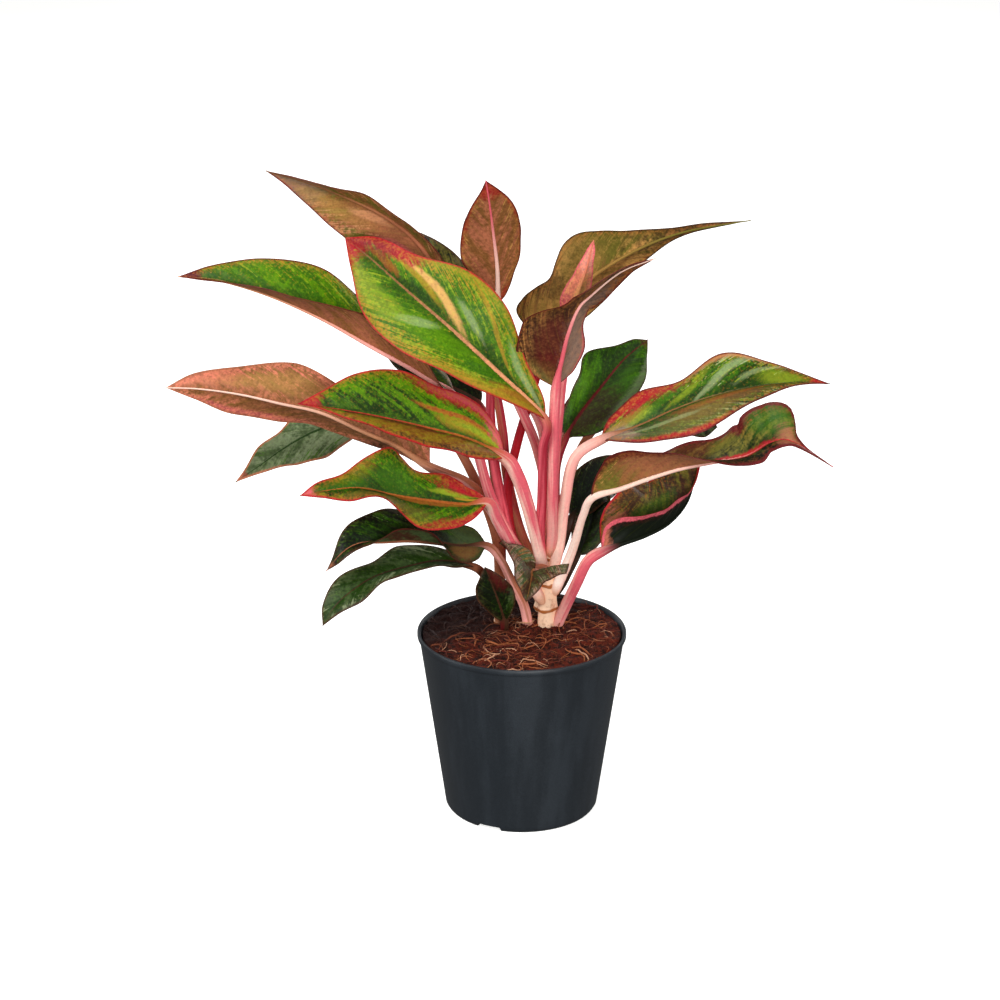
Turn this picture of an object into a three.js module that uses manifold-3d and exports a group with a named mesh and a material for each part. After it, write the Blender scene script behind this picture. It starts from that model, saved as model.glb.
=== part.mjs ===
// A potted Chinese evergreen: black nursery pot, coir soil, three short stems and their leaves.
// Millimetres, +Z up. The origin is on the pot's axis at table level, and -Y is the side that is looked at.

import * as THREE from "three";
import { mergeVertices } from "three/addons/utils/BufferGeometryUtils.js";
import Module from "manifold-3d";

const wasm = await Module();
wasm.setup();

// Clearance between pieces that touch
const GAP = 0.3;

// Pot: a 12 cm nursery pot with a plain rim, standing on a notched foot ring and a flat middle pad
const POT_HEIGHT = 108;
const RIM_RADIUS = 60;
const BASE_RADIUS = 44;
const BEAD_HEIGHT = 3;
const BEAD_DEPTH = 0.7;
const WALL = 1.5;
const CORNER = 0.8;
const POT_SIDES = 48;
const FOOT_HEIGHT = 4;
const FOOT_INSET = 3;
const FOOT_WIDTH = 3;
const PAD_RADIUS = 11;
const FOOT_SLOPE = 2;
const NOTCHES = 3;
const NOTCH_WIDTH = 15;
const NOTCH_HEIGHT = 2.8;
const FIRST_NOTCH = THREE.MathUtils.degToRad(244);
const DRAINS = 5;
const DRAIN_RADIUS = 4;
const DRAIN_CIRCLE = 27;
const DRAIN_SIDES = 12;

// Soil: coir with loose fibres, nearly level with the rim
const SOIL_LEVEL = 104.5;
const SOIL_CROWN = 1.2;
const SOIL_LUMP = 0.9;
const SOIL_EDGE = 0.2;
const SOIL_SHOULDER = 8;
const SOIL_RINGS = 6;
const SOIL_SIDES = 32;
const FIBRES = 18;
const FIBRE_RADIUS = 0.55;
const FIBRE_STEPS = 5;
const FIBRE_SEED = 11;
const FIBRE_NEAREST = 12;
const FIBRE_SPREAD = 38;
const FIBRE_SHORTEST = 9;
const FIBRE_LONGER = 13;
const FIBRE_SUNK = 1.2;
const FIBRE_LOWEST = 0.6;
const FIBRE_HIGHER = 2.2;
const FIBRE_BEND = 1.6;
const FIBRE_CLEAR = 2;

// Leaves: how finely each is divided, and how thick it is
const ACROSS = [-1, -0.52, 0, 0.52, 1];
const STALK_STEPS = 5;
const BLADE_STEPS = 13;
const TIP_START = 0.985;
const STALK_RADIUS = 2.2;
const SHEATH_RADIUS = 3.3;
const SHEATH_SHARE = 0.75;
const BLADE_HALF_THICK = 0.38;
const RIB_DEPTH = 1.3;
const RIB_TAPER = 0.8;
const ARCH = 0.06;

// Where along the blade the round stalk begins to open into it, and where it is all blade
const OPENING_START = -0.03;
const OPENING_END = 0.08;
const LEAST_PLACE = 0.004;

// Stems: sides, and how far a ring scar stands out
const STEM_SIDES = 12;
const STEPS_PER_SCAR = 3;
const SCAR_HEIGHT = 0.5;
const STEM_TOP = 1;

// The way to the front and a little above, which the blades are drawn from
const FRONT = new THREE.Vector3(0, -0.94, 0.34);

// Places along a blade where its breadth is given, from its foot at 0 to its tip at 1
const STATIONS = [0, 0.07, 0.22, 0.4, 0.58, 0.76, 0.91, 1];

// A blade's natural fullness grows as a power of the place along it, and is 1 where it is greatest
const FULLNESS_RISE = 0.6;
const FULLNESS_SCALE = 1.93;

// How tightly a leaf's curve keeps to its points
const CURVE_TENSION = 0.5;

// The waves of the soil's lumps: how fast each turns along x and along y, and where it starts
const LUMP_ALONG = [0.31, 0, 1.3];
const LUMP_ACROSS = [0, 0.27, 0];
const LUMP_SLANT = [0.13, -0.55, 0.7];

// The seeded dice's multiplier, step and range
const DICE_FACTOR = 1664525;
const DICE_STEP = 1013904223;
const DICE_RANGE = 4294967296;

const FINISHES = {
  pot: { colour: 0x2b3138, roughness: 0.55 },
  soil: { colour: 0x5a2c18, roughness: 1 },
  stem: { colour: 0xc79a68, roughness: 0.6 },
  leaf: { colour: 0x4f8428, roughness: 0.45 },
  bronze: { colour: 0x8c6a48, roughness: 0.45 },
  dark: { colour: 0x2f4a22, roughness: 0.45 },
};

// Each stem: the middle of its foot, bend and top, its radius at the foot and the top, and its ring scars
const STEMS = [
  { name: "stem_main", points: [[15, 8, 84], [15, 10, 120], [13, 9, 158]], radius: [7, 4], scars: 5 },
  { name: "stem_left", points: [[-11, 13, 84], [-12, 14, 110], [-14, 14, 136]], radius: [4.6, 3], scars: 3 },
  { name: "stem_back", points: [[10, 33, 84], [12, 33, 112], [15, 33, 140]], radius: [5, 3], scars: 3 },
];

// Each leaf: points up its stalk, the last at the foot of the blade, then points along the midrib.
// left and right are the breadths of the two halves at the stations, as they look from the front,
// and less than nothing where a half is folded over the midrib. leftOut and rightOut are how far
// the margins stand to the front of the midrib, near the foot, in the middle and near the tip.
// stout is how much thicker than most its stalk is, and stations are a leaf's own, where it has them.
const LEAVES = [
  { name: "leaf_01", finish: "bronze", shows: "under",
    stalk: [[14, 13, 150], [15, 15, 166], [14, 14, 186], [10, 10, 208], [3, 6, 230],
      [-14, 0, 267], [-40, -2, 310]],
    rib: [[-56, -4, 336], [-74, -10, 353], [-98, -14, 366], [-119, -18, 375], [-137, -22, 381]],
    left: [8, 18, 21, 19, 12, 4], leftOut: [-14, -18, -14],
    right: [5, 4, 3, 4, 1, 0], rightOut: [14, 20, 14] },
  { name: "leaf_02", finish: "dark", shows: "upper",
    stalk: [[13, 15, 132], [8, 20, 139], [0, 21, 158], [-5, 22, 176], [-9, 23, 197], [-11, 23, 221],
      [-16, 24, 247], [-29, 29, 278]],
    rib: [[-38, 34, 300], [-51, 38, 315], [-66, 42, 327], [-80, 46, 332]],
    left: [5, 10, 12, 12, 9, 4], leftOut: [4, 4, 4], right: [6, 12, 13, 12, 8, 4], rightOut: [4, 4, 4] },
  { name: "leaf_03", finish: "leaf", shows: "upper",
    stalk: [[12, 7, 148], [10, -1, 164], [11, -10, 191], [11, -22, 224], [12, -30, 245]],
    rib: [[-12, -34, 271], [-37, -36, 296], [-66, -28, 320], [-82, -22, 333], [-96, -16, 343]],
    left: [4, 11, 19, 27, 25, 11], leftOut: [16, 16, 6],
    right: [7, 16, 29, 30, 18, 11], rightOut: [4, -2, 2] },
  { name: "leaf_04", finish: "leaf", shows: "upper",
    stalk: [[11, 8, 138], [-5, -1, 162], [-18, -6, 192], [-27, -9, 226], [-37, -11, 251]],
    rib: [[-56, -14, 266], [-83, -18, 283], [-110, -22, 300], [-137, -24, 313], [-163, -24, 321],
      [-186, -22, 323]],
    left: [1, -11, -13, -6, -1, 1], leftOut: [20, 28, 12],
    right: [8, 15, 20, 25, 18, 7], rightOut: [-18, -26, -8] },
  { name: "leaf_05", finish: "bronze", shows: "under",
    stalk: [[12, 10, 134], [1, 8, 148], [-7, 5, 165], [-12, 4, 187], [-16, 5, 212], [-18, 8, 244],
      [-16, 7, 275], [-14, 3, 300]],
    rib: [[-14, -8, 323], [-16, -18, 345], [-18, -28, 364], [-20, -36, 379]],
    left: [9, 15, 19, 17, 12, 4], leftOut: [-4, -6, -2],
    right: [5, 9, 14, 15, 13, 6], rightOut: [-6, -8, -2] },
  { name: "leaf_06", finish: "bronze", shows: "under",
    stalk: [[11, 11, 128], [-1, 12, 149], [-10, 10, 165], [-22, 2, 187], [-32, -6, 200], [-51, -16, 212]],
    rib: [[-68, -22, 226], [-89, -28, 238], [-110, -34, 250], [-131, -40, 257], [-152, -46, 264],
      [-173, -52, 269], [-191, -56, 271]],
    left: [3, 5, 8, 9, 11, 5], leftOut: [-14, -28, -10],
    right: [12, 16, 16, 23, 15, 8], rightOut: [0, 8, 6] },
  { name: "leaf_07", finish: "dark", shows: "upper",
    stalk: [[-12, 14, 124], [-16, 17, 164], [-38, 20, 214], [-61, 20, 231], [-83, 20, 228]],
    rib: [[-100, 18, 227], [-117, 14, 223], [-134, 8, 215], [-147, 2, 207], [-161, -4, 199]],
    left: [6, 12, 16, 13, 6, 2], leftOut: [6, 10, 6],
    right: [8, 14, 15, 10, 9, 3], rightOut: [-4, -6, -4] },
  { name: "leaf_08", finish: "leaf", shows: "upper", stout: 1.3,
    stalk: [[13, 5, 140], [9, -3, 160], [3, -12, 188], [-3, -18, 208], [-10, -22, 220]],
    rib: [[-29, -30, 233], [-51, -38, 242], [-72, -46, 250], [-93, -54, 257], [-120, -62, 264]],
    left: [5, 9, 10, 8, 5, 1], leftOut: [14, 24, 12],
    right: [10, 21, 24, 27, 21, 8], rightOut: [-6, -8, -4] },
  { name: "leaf_09", finish: "dark", shows: "upper",
    stalk: [[-13, 15, 130], [-12, 21, 148], [-14, 28, 176], [-18, 34, 205], [-24, 34, 232]],
    rib: [[-41, 40, 242], [-58, 46, 251], [-77, 52, 255]],
    left: [6, 12, 14, 12, 8, 4], leftOut: [6, 8, 4],
    right: [6, 12, 14, 12, 8, 4], rightOut: [-4, -4, -4] },
  { name: "leaf_10", finish: "leaf", shows: "upper",
    stalk: [[12, 6, 122], [2, 0, 143], [-7, -9, 164], [-14, -19, 182], [-19, -26, 195]],
    rib: [[-32, -32, 196], [-51, -40, 201], [-70, -48, 207], [-88, -56, 214], [-104, -62, 215],
      [-120, -68, 214]],
    left: [6, 14, 15, 3, 7, 3], leftOut: [8, 22, 10],
    right: [8, 15, 16, 25, 9, 5], rightOut: [-6, -12, -4] },
  { name: "leaf_11", finish: "dark", shows: "upper",
    stalk: [[5, 12, 90], [4, 11, 104], [1, 6, 121], [-6, 0, 138], [-12, -6, 153], [-20, -12, 164]],
    rib: [[-35, -20, 167], [-48, -28, 172], [-62, -38, 177], [-76, -48, 180], [-89, -56, 182],
      [-98, -62, 179],
      [-107, -64, 169]],
    left: [8, 8, -5, -6, 2, 3], leftOut: [6, 24, 6],
    right: [10, 13, 15, 18, 13, 3], rightOut: [-6, -16, -6] },
  { name: "leaf_12", finish: "dark", shows: "upper",
    stalk: [[-12, 13, 106], [-14, 8, 121], [-19, 2, 136], [-27, -4, 148]],
    rib: [[-46, -16, 156], [-65, -28, 157], [-82, -40, 156], [-95, -50, 151], [-104, -56, 144],
      [-110, -60, 135]],
    left: [1, 3, 3, 4, 8, 4], leftOut: [10, 20, 8],
    right: [4, 8, 13, 8, 11, 6], rightOut: [-8, -14, -4] },
  { name: "leaf_13", finish: "dark", shows: "upper",
    stalk: [[14, 6, 140], [12, -2, 146], [6, -14, 150]],
    rib: [[5, -24, 150], [4, -34, 148], [2, -42, 142]],
    left: [12, 21, 16, 9, 5, 2], leftOut: [14, 8, 2],
    right: [10, 19, 19, 13, 8, 3], rightOut: [24, 40, 5] },
  { name: "leaf_14", finish: "bronze", shows: "under",
    stalk: [[13, 12, 130], [3, 15, 144], [-6, 16, 160], [-8, 15, 188], [-3, 14, 215],
      [5, 15, 244], [13, 18, 273]],
    rib: [[21, 16, 292], [35, 14, 310], [51, 10, 323], [69, 2, 335], [90, -8, 345], [122, -18, 353]],
    left: [21, 22, 19, 16, 20, 24, 24, 19, 11, 4, 2], leftOut: [4, 12, 0],
    right: [8, 11, 13, 14, 14, 13, 12, 10, 6, 2, 1], rightOut: [-16, -20, 0],
    stations: [0, 0.07, 0.12, 0.17, 0.22, 0.28, 0.33, 0.38, 0.45, 0.55, 0.7, 0.85, 1] },
  { name: "leaf_15", finish: "bronze", shows: "under", stout: 1.15,
    stalk: [[16, 8, 150], [17, 0, 164], [17, -12, 191], [17, -20, 229], [18, -24, 261]],
    rib: [[21, -28, 279], [24, -32, 294], [29, -34, 308], [35, -34, 315], [52, -34, 329], [71, -32, 336]],
    left: [15, 22, 25, 25, 25, 24, 17, 8, 4, 2, 1], leftOut: [6, 18, 10],
    right: [8, 10, 11, 10, 8, 6, 6, 6, 6, 6, 3], rightOut: [-12, -22, -8],
    stations: [0, 0.08, 0.14, 0.21, 0.27, 0.32, 0.38, 0.44, 0.49, 0.55, 0.68, 0.85, 1] },
  { name: "leaf_16", finish: "dark", shows: "upper",
    stalk: [[15, 13, 140], [18, 17, 158], [19, 20, 180], [20, 24, 200], [25, 30, 214]],
    rib: [[33, 36, 226], [46, 46, 240], [59, 56, 253], [73, 68, 261]],
    left: [6, 10, 14, 19, 9, 5], leftOut: [6, 8, 4], right: [9, 17, 19, 19, 16, 7], rightOut: [6, 8, 4] },
  { name: "leaf_17", finish: "bronze", shows: "under",
    stalk: [[15, 10, 152], [17, 6, 168], [18, 2, 204], [21, -4, 247], [25, -8, 286]],
    rib: [[28, -11, 304], [34, -13, 324], [38, -14, 341]],
    left: [3, 7, 8, 6, 4, 2], leftOut: [-6, -10, -4], right: [2, 5, 6, 5, 3, 2], rightOut: [-6, -12, 0] },
  { name: "leaf_18", finish: "leaf", shows: "upper", stout: 1.25,
    stalk: [[17, 8, 138], [21, 3, 158], [24, -4, 188], [29, -8, 214], [43, -10, 226]],
    rib: [[65, -8, 234], [87, -4, 243], [110, 2, 249], [133, 8, 252], [156, 14, 252], [173, 18, 250]],
    left: [10, 17, 14, 22, 13, 4], leftOut: [-8, -20, -8],
    right: [5, 13, 17, 11, 4, 1], rightOut: [10, 22, 14] },
  { name: "leaf_19", finish: "bronze", shows: "upper", stout: 1.1,
    stalk: [[18, 9, 126], [26, 1, 149], [30, -5, 164], [34, -12, 182], [39, -18, 195]],
    rib: [[54, -22, 202], [70, -27, 210], [86, -32, 217], [102, -37, 222], [121, -41, 227],
      [134, -44, 236], [146, -46, 237], [168, -50, 224]],
    left: [6, 9, 11, 11, 13, 13, 15, 18, 18, 18, 20, 21, 19, 4], leftOut: [-12, -20, 0],
    right: [-12, -18, -18, -12, -7, -2, 2, 4, 5, 6, 7, 5, 4, 2], rightOut: [14, 28, 4],
    stations: [0, 0.06, 0.12, 0.22, 0.32, 0.42, 0.5, 0.55, 0.59, 0.63, 0.66, 0.69, 0.74, 0.79, 0.83, 1] },
  { name: "leaf_20", finish: "leaf", shows: "upper", stout: 1.3,
    stalk: [[19, 8, 104], [25, 3, 121], [31, -2, 137], [37, -6, 152], [45, -8, 159]],
    rib: [[55, -6, 163], [70, 0, 166], [84, 10, 170], [95, 24, 178], [101, 38, 192], [105, 48, 200]],
    left: [17, 28, 30, 29, 22, 10], leftOut: [-8, -16, -4],
    right: [-12, -12, -8, -5, 1, 1], rightOut: [14, 22, 4] },
  { name: "leaf_21", finish: "bronze", shows: "upper",
    stalk: [[16, 31, 134], [20, 30, 150], [25, 34, 178], [33, 42, 201], [45, 50, 215]],
    rib: [[63, 58, 217], [81, 66, 214], [99, 74, 209], [116, 82, 203]],
    left: [4, 7, 8, 8, 8, 7], leftOut: [4, 6, 2], right: [4, 7, 8, 8, 8, 7], rightOut: [4, 6, 2] },
  { name: "leaf_22", finish: "dark", shows: "upper",
    stalk: [[14, 30, 112], [22, 25, 124], [27, 28, 132], [32, 32, 141]],
    rib: [[37, 36, 150], [41, 42, 159], [44, 50, 169], [46, 62, 180]],
    left: [5, 9, 10, 9, 7, 3], leftOut: [4, 4, 2], right: [5, 9, 10, 9, 7, 3], rightOut: [4, 4, 2] },
  { name: "leaf_23", finish: "dark", shows: "upper",
    stalk: [[14, 34, 122], [20, 34, 138], [25, 36, 150], [29, 38, 162]],
    rib: [[34, 44, 169], [41, 54, 176], [53, 68, 179], [71, 84, 178]],
    left: [6, 11, 13, 12, 9, 4], leftOut: [4, 4, 2], right: [6, 11, 13, 12, 9, 4], rightOut: [4, 4, 2] },
  { name: "leaf_24", finish: "dark", shows: "upper",
    stalk: [[-10, 6, 88], [-10, 4, 103], [-10, 0, 113]],
    rib: [[-12, -5, 123], [-16, -10, 137], [-21, -14, 152]],
    left: [3, 6, 9, 11, 9, 4], leftOut: [2, 2, 1], right: [3, 7, 10, 10, 7, 3], rightOut: [2, 2, 1] },
  { name: "leaf_25", finish: "dark", shows: "upper",
    stalk: [[13, 35, 136], [15, 46, 150], [15, 52, 181], [11, 58, 212], [-4, 64, 235], [-18, 68, 249]],
    rib: [[-36, 80, 260], [-54, 96, 268], [-69, 114, 272], [-78, 130, 272]],
    left: [6, 11, 13, 12, 9, 4], leftOut: [6, 6, 4], right: [6, 11, 13, 12, 9, 4], rightOut: [6, 6, 4] },
  { name: "leaf_26", finish: "dark", shows: "upper",
    stalk: [[16, 34, 136], [19, 39, 150], [19, 45, 183], [22, 55, 203]],
    rib: [[34, 72, 214], [49, 94, 219], [63, 118, 216], [73, 138, 207]],
    left: [6, 11, 13, 12, 9, 4], leftOut: [6, 6, 4], right: [6, 11, 13, 12, 9, 4], rightOut: [6, 6, 4] },
];

// The solid inside a closed geometry
function solid(geometry) {
  geometry.deleteAttribute("normal");
  geometry.deleteAttribute("uv");
  const merged = mergeVertices(geometry, 1e-4);
  return new wasm.Manifold(new wasm.Mesh({
    numProp: 3,
    vertProperties: new Float32Array(merged.attributes.position.array),
    triVerts: new Uint32Array(merged.index.array),
  }));
}

// The geometry of a solid
function geometryOf(body) {
  const mesh = body.getMesh();
  const geometry = new THREE.BufferGeometry();
  geometry.setAttribute("position", new THREE.BufferAttribute(new Float32Array(mesh.vertProperties), 3));
  geometry.setIndex(new THREE.BufferAttribute(new Uint32Array(mesh.triVerts), 1));
  return geometry;
}

// The largest body of a solid, without loose scraps
function largest(body) {
  const bodies = body.decompose();
  bodies.sort((a, b) => b.volume() - a.volume());
  return bodies[0];
}

// A closed surface over rings of points, with a point at each end
function skin(rings, first, last) {
  const count = rings[0].length;
  const points = [...rings.flat(), first, last];
  const index = [];
  for (let j = 0; j + 1 < rings.length; j++) {
    for (let k = 0; k < count; k++) {
      const next = (k + 1) % count;
      const a = j * count + k;
      const b = j * count + next;
      const c = (j + 1) * count + next;
      const d = (j + 1) * count + k;
      // The two faces of a blade are split along the same diagonal
      if (k < count / 2) {
        index.push(a, b, c, a, c, d);
      } else {
        index.push(a, b, d, b, c, d);
      }
    }
  }
  const start = points.length - 2;
  const end = points.length - 1;
  const top = (rings.length - 1) * count;
  for (let k = 0; k < count; k++) {
    const next = (k + 1) % count;
    index.push(start, next, k);
    index.push(end, top + k, top + next);
  }
  const geometry = new THREE.BufferGeometry();
  geometry.setAttribute("position", new THREE.Float32BufferAttribute(points.flatMap((p) => p.toArray()), 3));
  geometry.setIndex(index);
  return geometry;
}

// A value part of the way along a short list of them, as on a Bezier curve
function along(values, t) {
  let row = values;
  while (row.length > 1) {
    row = row.slice(1).map((value, i) => row[i] * (1 - t) + value * t);
  }
  return row[0];
}

// The breadth of half a blade at a place along it, smoothly through its breadths at the stations
function breadth(breadths, stations, v) {
  const values = [0, ...breadths, 0];
  const last = values.length - 1;
  const slope = (i) => {
    const before = Math.max(i - 1, 0);
    const after = Math.min(i + 1, last);
    return (values[after] - values[before]) / (stations[after] - stations[before]);
  };
  let i = 0;
  while (i < last - 1 && v > stations[i + 1]) {
    i++;
  }
  const span = stations[i + 1] - stations[i];
  const t = (v - stations[i]) / span;
  const rise = t * t * (3 - 2 * t);
  const start = t * (1 - t) * (1 - t) * slope(i) * span;
  const end = t * t * (t - 1) * slope(i + 1) * span;
  return values[i] * (1 - rise) + values[i + 1] * rise + start + end;
}

// The natural fullness of a blade, from nothing at its foot and tip to 1 a third of the way up
function fullness(v) {
  return FULLNESS_SCALE * v ** FULLNESS_RISE * (1 - v);
}

// The margin of half a blade, seen along the midrib: its distance to the side and to the front
function margin(leaf, v, left) {
  const side = breadth(left ? leaf.left : leaf.right, leaf.stations ?? STATIONS, v);
  const front = along(left ? leaf.leftOut : leaf.rightOut, v) * fullness(v);
  return new THREE.Vector2(left ? -side : side, front);
}

// One ring of points round a stalk or across a blade
function ring(leaf, place, forward, v, climb, grow) {
  const front = FRONT.clone().addScaledVector(forward, -FRONT.dot(forward)).normalize();
  const side = new THREE.Vector3().crossVectors(forward, front);
  const widen = Math.max(0, 1 - climb / SHEATH_SHARE);
  const stalkRadius = STALK_RADIUS * (leaf.stout ?? 1);
  const radius = stalkRadius + (SHEATH_RADIUS - stalkRadius) * widen + grow;
  const blend = THREE.MathUtils.smoothstep(v, OPENING_START, OPENING_END);
  const at = THREE.MathUtils.clamp(v, LEAST_PLACE, 1);
  const halves = [margin(leaf, at, true), margin(leaf, at, false)];
  const facing = halves.map((half, i) => {
    const normal = i === 0 ? new THREE.Vector2(half.y, -half.x) : new THREE.Vector2(-half.y, half.x);
    return normal.normalize();
  });
  const middle = facing[0].clone().add(facing[1]).normalize();
  const upper = leaf.shows === "upper" ? 1 : -1;
  const count = ACROSS.length;
  const points = [];
  for (let k = 0; k < 2 * count; k++) {
    const over = k < count ? 1 : -1;
    const u = ACROSS[over > 0 ? k : 2 * count - 1 - k];
    const reach = Math.abs(u);
    const angle = Math.PI * (1 - (k + 0.5) / count);
    const round = new THREE.Vector2(Math.cos(angle), Math.sin(angle)).multiplyScalar(radius);
    const half = halves[u < 0 ? 0 : 1];
    const normal = u === 0 ? middle : facing[u < 0 ? 0 : 1];
    const arch = upper * ARCH * half.length() * 4 * reach * (1 - reach);
    const rib = u === 0 && over !== upper ? RIB_DEPTH * (1 - RIB_TAPER * at) : 0;
    const flat = half.clone().multiplyScalar(reach * (1 + grow / (half.length() + 1)));
    flat.addScaledVector(normal, arch + over * (BLADE_HALF_THICK + rib + grow));
    const spot = round.lerp(flat, blend);
    points.push(place.clone().addScaledVector(side, spot.x).addScaledVector(front, spot.y));
  }
  return points;
}

// A whole leaf: stalk, midrib and blade in one piece
function leafSolid(leaf, grow = 0) {
  const points = [...leaf.stalk, ...leaf.rib].map((p) => new THREE.Vector3(...p));
  const curve = new THREE.CatmullRomCurve3(points, false, "catmullrom", CURVE_TENSION);
  const bladeStart = (leaf.stalk.length - 1) / (points.length - 1);
  const times = [];
  for (let i = 0; i < STALK_STEPS; i++) {
    times.push(bladeStart * i / STALK_STEPS);
  }
  for (let i = 0; i <= BLADE_STEPS; i++) {
    times.push(bladeStart + (1 - bladeStart) * TIP_START * (i / BLADE_STEPS));
  }
  times.push(1);
  const places = times.map((t) => curve.getPoint(t));
  const lengths = [0];
  for (let i = 1; i < places.length; i++) {
    lengths.push(lengths[i - 1] + places[i].distanceTo(places[i - 1]));
  }
  const foot = lengths[STALK_STEPS];
  const blade = lengths[lengths.length - 1] - foot;
  const rings = [];
  for (let i = 0; i + 1 < places.length; i++) {
    const v = (lengths[i] - foot) / blade;
    rings.push(ring(leaf, places[i], curve.getTangent(times[i]), v, lengths[i] / foot, grow));
  }
  return solid(skin(rings, places[0], places[places.length - 1]));
}

// A stem with ring scars where old leaves came off
function stemSolid(stem, grow = 0) {
  const curve = new THREE.CatmullRomCurve3(stem.points.map((p) => new THREE.Vector3(...p)));
  const steps = stem.scars * STEPS_PER_SCAR;
  const rings = [];
  for (let i = 0; i <= steps; i++) {
    const t = i / steps;
    const place = curve.getPoint(t);
    const scar = i % STEPS_PER_SCAR === 1 ? SCAR_HEIGHT : 0;
    const radius = along(stem.radius, t) + scar + grow;
    const circle = [];
    for (let k = 0; k < STEM_SIDES; k++) {
      const angle = 2 * Math.PI * k / STEM_SIDES;
      circle.push(new THREE.Vector3(Math.cos(angle) * radius, Math.sin(angle) * radius, 0).add(place));
    }
    rings.push(circle);
  }
  const first = curve.getPoint(0).add(new THREE.Vector3(0, 0, -grow));
  const last = curve.getPoint(1).add(new THREE.Vector3(0, 0, STEM_TOP + grow));
  return solid(skin(rings, first, last));
}

// A seeded random number between 0 and 1
function dice(seed) {
  let state = seed;
  return () => {
    state = (state * DICE_FACTOR + DICE_STEP) % DICE_RANGE;
    return state / DICE_RANGE;
  };
}

// The radius of the pot's outside below the rim at a height
function potRadius(z) {
  return BASE_RADIUS + (RIM_RADIUS - BEAD_DEPTH - BASE_RADIUS) * z / POT_HEIGHT;
}

// A box lying along a spoke at an angle round the pot's axis
function spokeBox(long, wide, high, away, angle) {
  const geometry = new THREE.BoxGeometry(long, wide, high);
  geometry.translate(away, 0, 0);
  geometry.rotateZ(angle);
  return solid(geometry);
}

// An upright round rod at an angle round the pot's axis
function spokeRod(radius, high, away, angle) {
  const geometry = new THREE.CylinderGeometry(radius, radius, high, DRAIN_SIDES);
  geometry.rotateX(Math.PI / 2);
  geometry.translate(Math.cos(angle) * away, Math.sin(angle) * away, FOOT_HEIGHT);
  return solid(geometry);
}

function potSolid() {
  const beadFoot = POT_HEIGHT - BEAD_HEIGHT;
  const floor = FOOT_HEIGHT + WALL;
  const footOuter = BASE_RADIUS - FOOT_INSET;
  const footInner = footOuter - FOOT_WIDTH;
  const profile = [
    [0, 0],
    [PAD_RADIUS, 0],
    [PAD_RADIUS + FOOT_SLOPE, FOOT_HEIGHT],
    [footInner - FOOT_SLOPE, FOOT_HEIGHT],
    [footInner, 0],
    [footOuter, 0],
    [BASE_RADIUS - CORNER, CORNER],
    [potRadius(FOOT_HEIGHT), FOOT_HEIGHT],
    [potRadius(beadFoot), beadFoot],
    [RIM_RADIUS, beadFoot + CORNER],
    [RIM_RADIUS, POT_HEIGHT - CORNER],
    [RIM_RADIUS - CORNER, POT_HEIGHT],
    [RIM_RADIUS - WALL, POT_HEIGHT],
    [potRadius(beadFoot) - WALL, beadFoot],
    [potRadius(floor) - WALL, floor],
    [0, floor],
    [0, 0],
  ];
  const lathe = new THREE.LatheGeometry(profile.map(([r, z]) => new THREE.Vector2(r, z)), POT_SIDES);
  let pot = solid(lathe.rotateX(Math.PI / 2));
  for (let i = 0; i < NOTCHES; i++) {
    const angle = FIRST_NOTCH + 2 * Math.PI * i / NOTCHES;
    pot = pot.subtract(spokeBox(PAD_RADIUS, NOTCH_WIDTH, 2 * NOTCH_HEIGHT, BASE_RADIUS, angle));
  }
  for (let i = 0; i < DRAINS; i++) {
    const angle = FIRST_NOTCH + 2 * Math.PI * (i + 0.5) / DRAINS;
    pot = pot.subtract(spokeRod(DRAIN_RADIUS, 4 * WALL, DRAIN_CIRCLE, angle));
  }
  return pot;
}

// The height of the soil's surface
function soilHeight(x, y) {
  const r = Math.hypot(x, y) / RIM_RADIUS;
  const turn = ([alongX, alongY, start]) => x * alongX + y * alongY + start;
  const lumps = Math.sin(turn(LUMP_ALONG)) * Math.cos(turn(LUMP_ACROSS)) + Math.sin(turn(LUMP_SLANT));
  return SOIL_LEVEL + SOIL_CROWN * (1 - r * r) + SOIL_LUMP * lumps / 2;
}

function soilSolid() {
  const foot = FOOT_HEIGHT + WALL + GAP;
  const shoulder = SOIL_LEVEL - SOIL_SHOULDER;
  const inner = (z) => potRadius(z) - WALL - GAP - SOIL_EDGE;
  const circle = (radius, height) => {
    const points = [];
    for (let k = 0; k < SOIL_SIDES; k++) {
      const angle = 2 * Math.PI * k / SOIL_SIDES;
      const x = Math.cos(angle) * radius;
      const y = Math.sin(angle) * radius;
      points.push(new THREE.Vector3(x, y, height ?? soilHeight(x, y)));
    }
    return points;
  };
  const rings = [circle(inner(foot), foot), circle(inner(shoulder), shoulder)];
  for (let i = SOIL_RINGS; i > 0; i--) {
    rings.push(circle((inner(SOIL_LEVEL) - SOIL_EDGE) * i / SOIL_RINGS));
  }
  const middle = new THREE.Vector3(0, 0, soilHeight(0, 0));
  return solid(skin(rings, new THREE.Vector3(0, 0, foot), middle));
}

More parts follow.
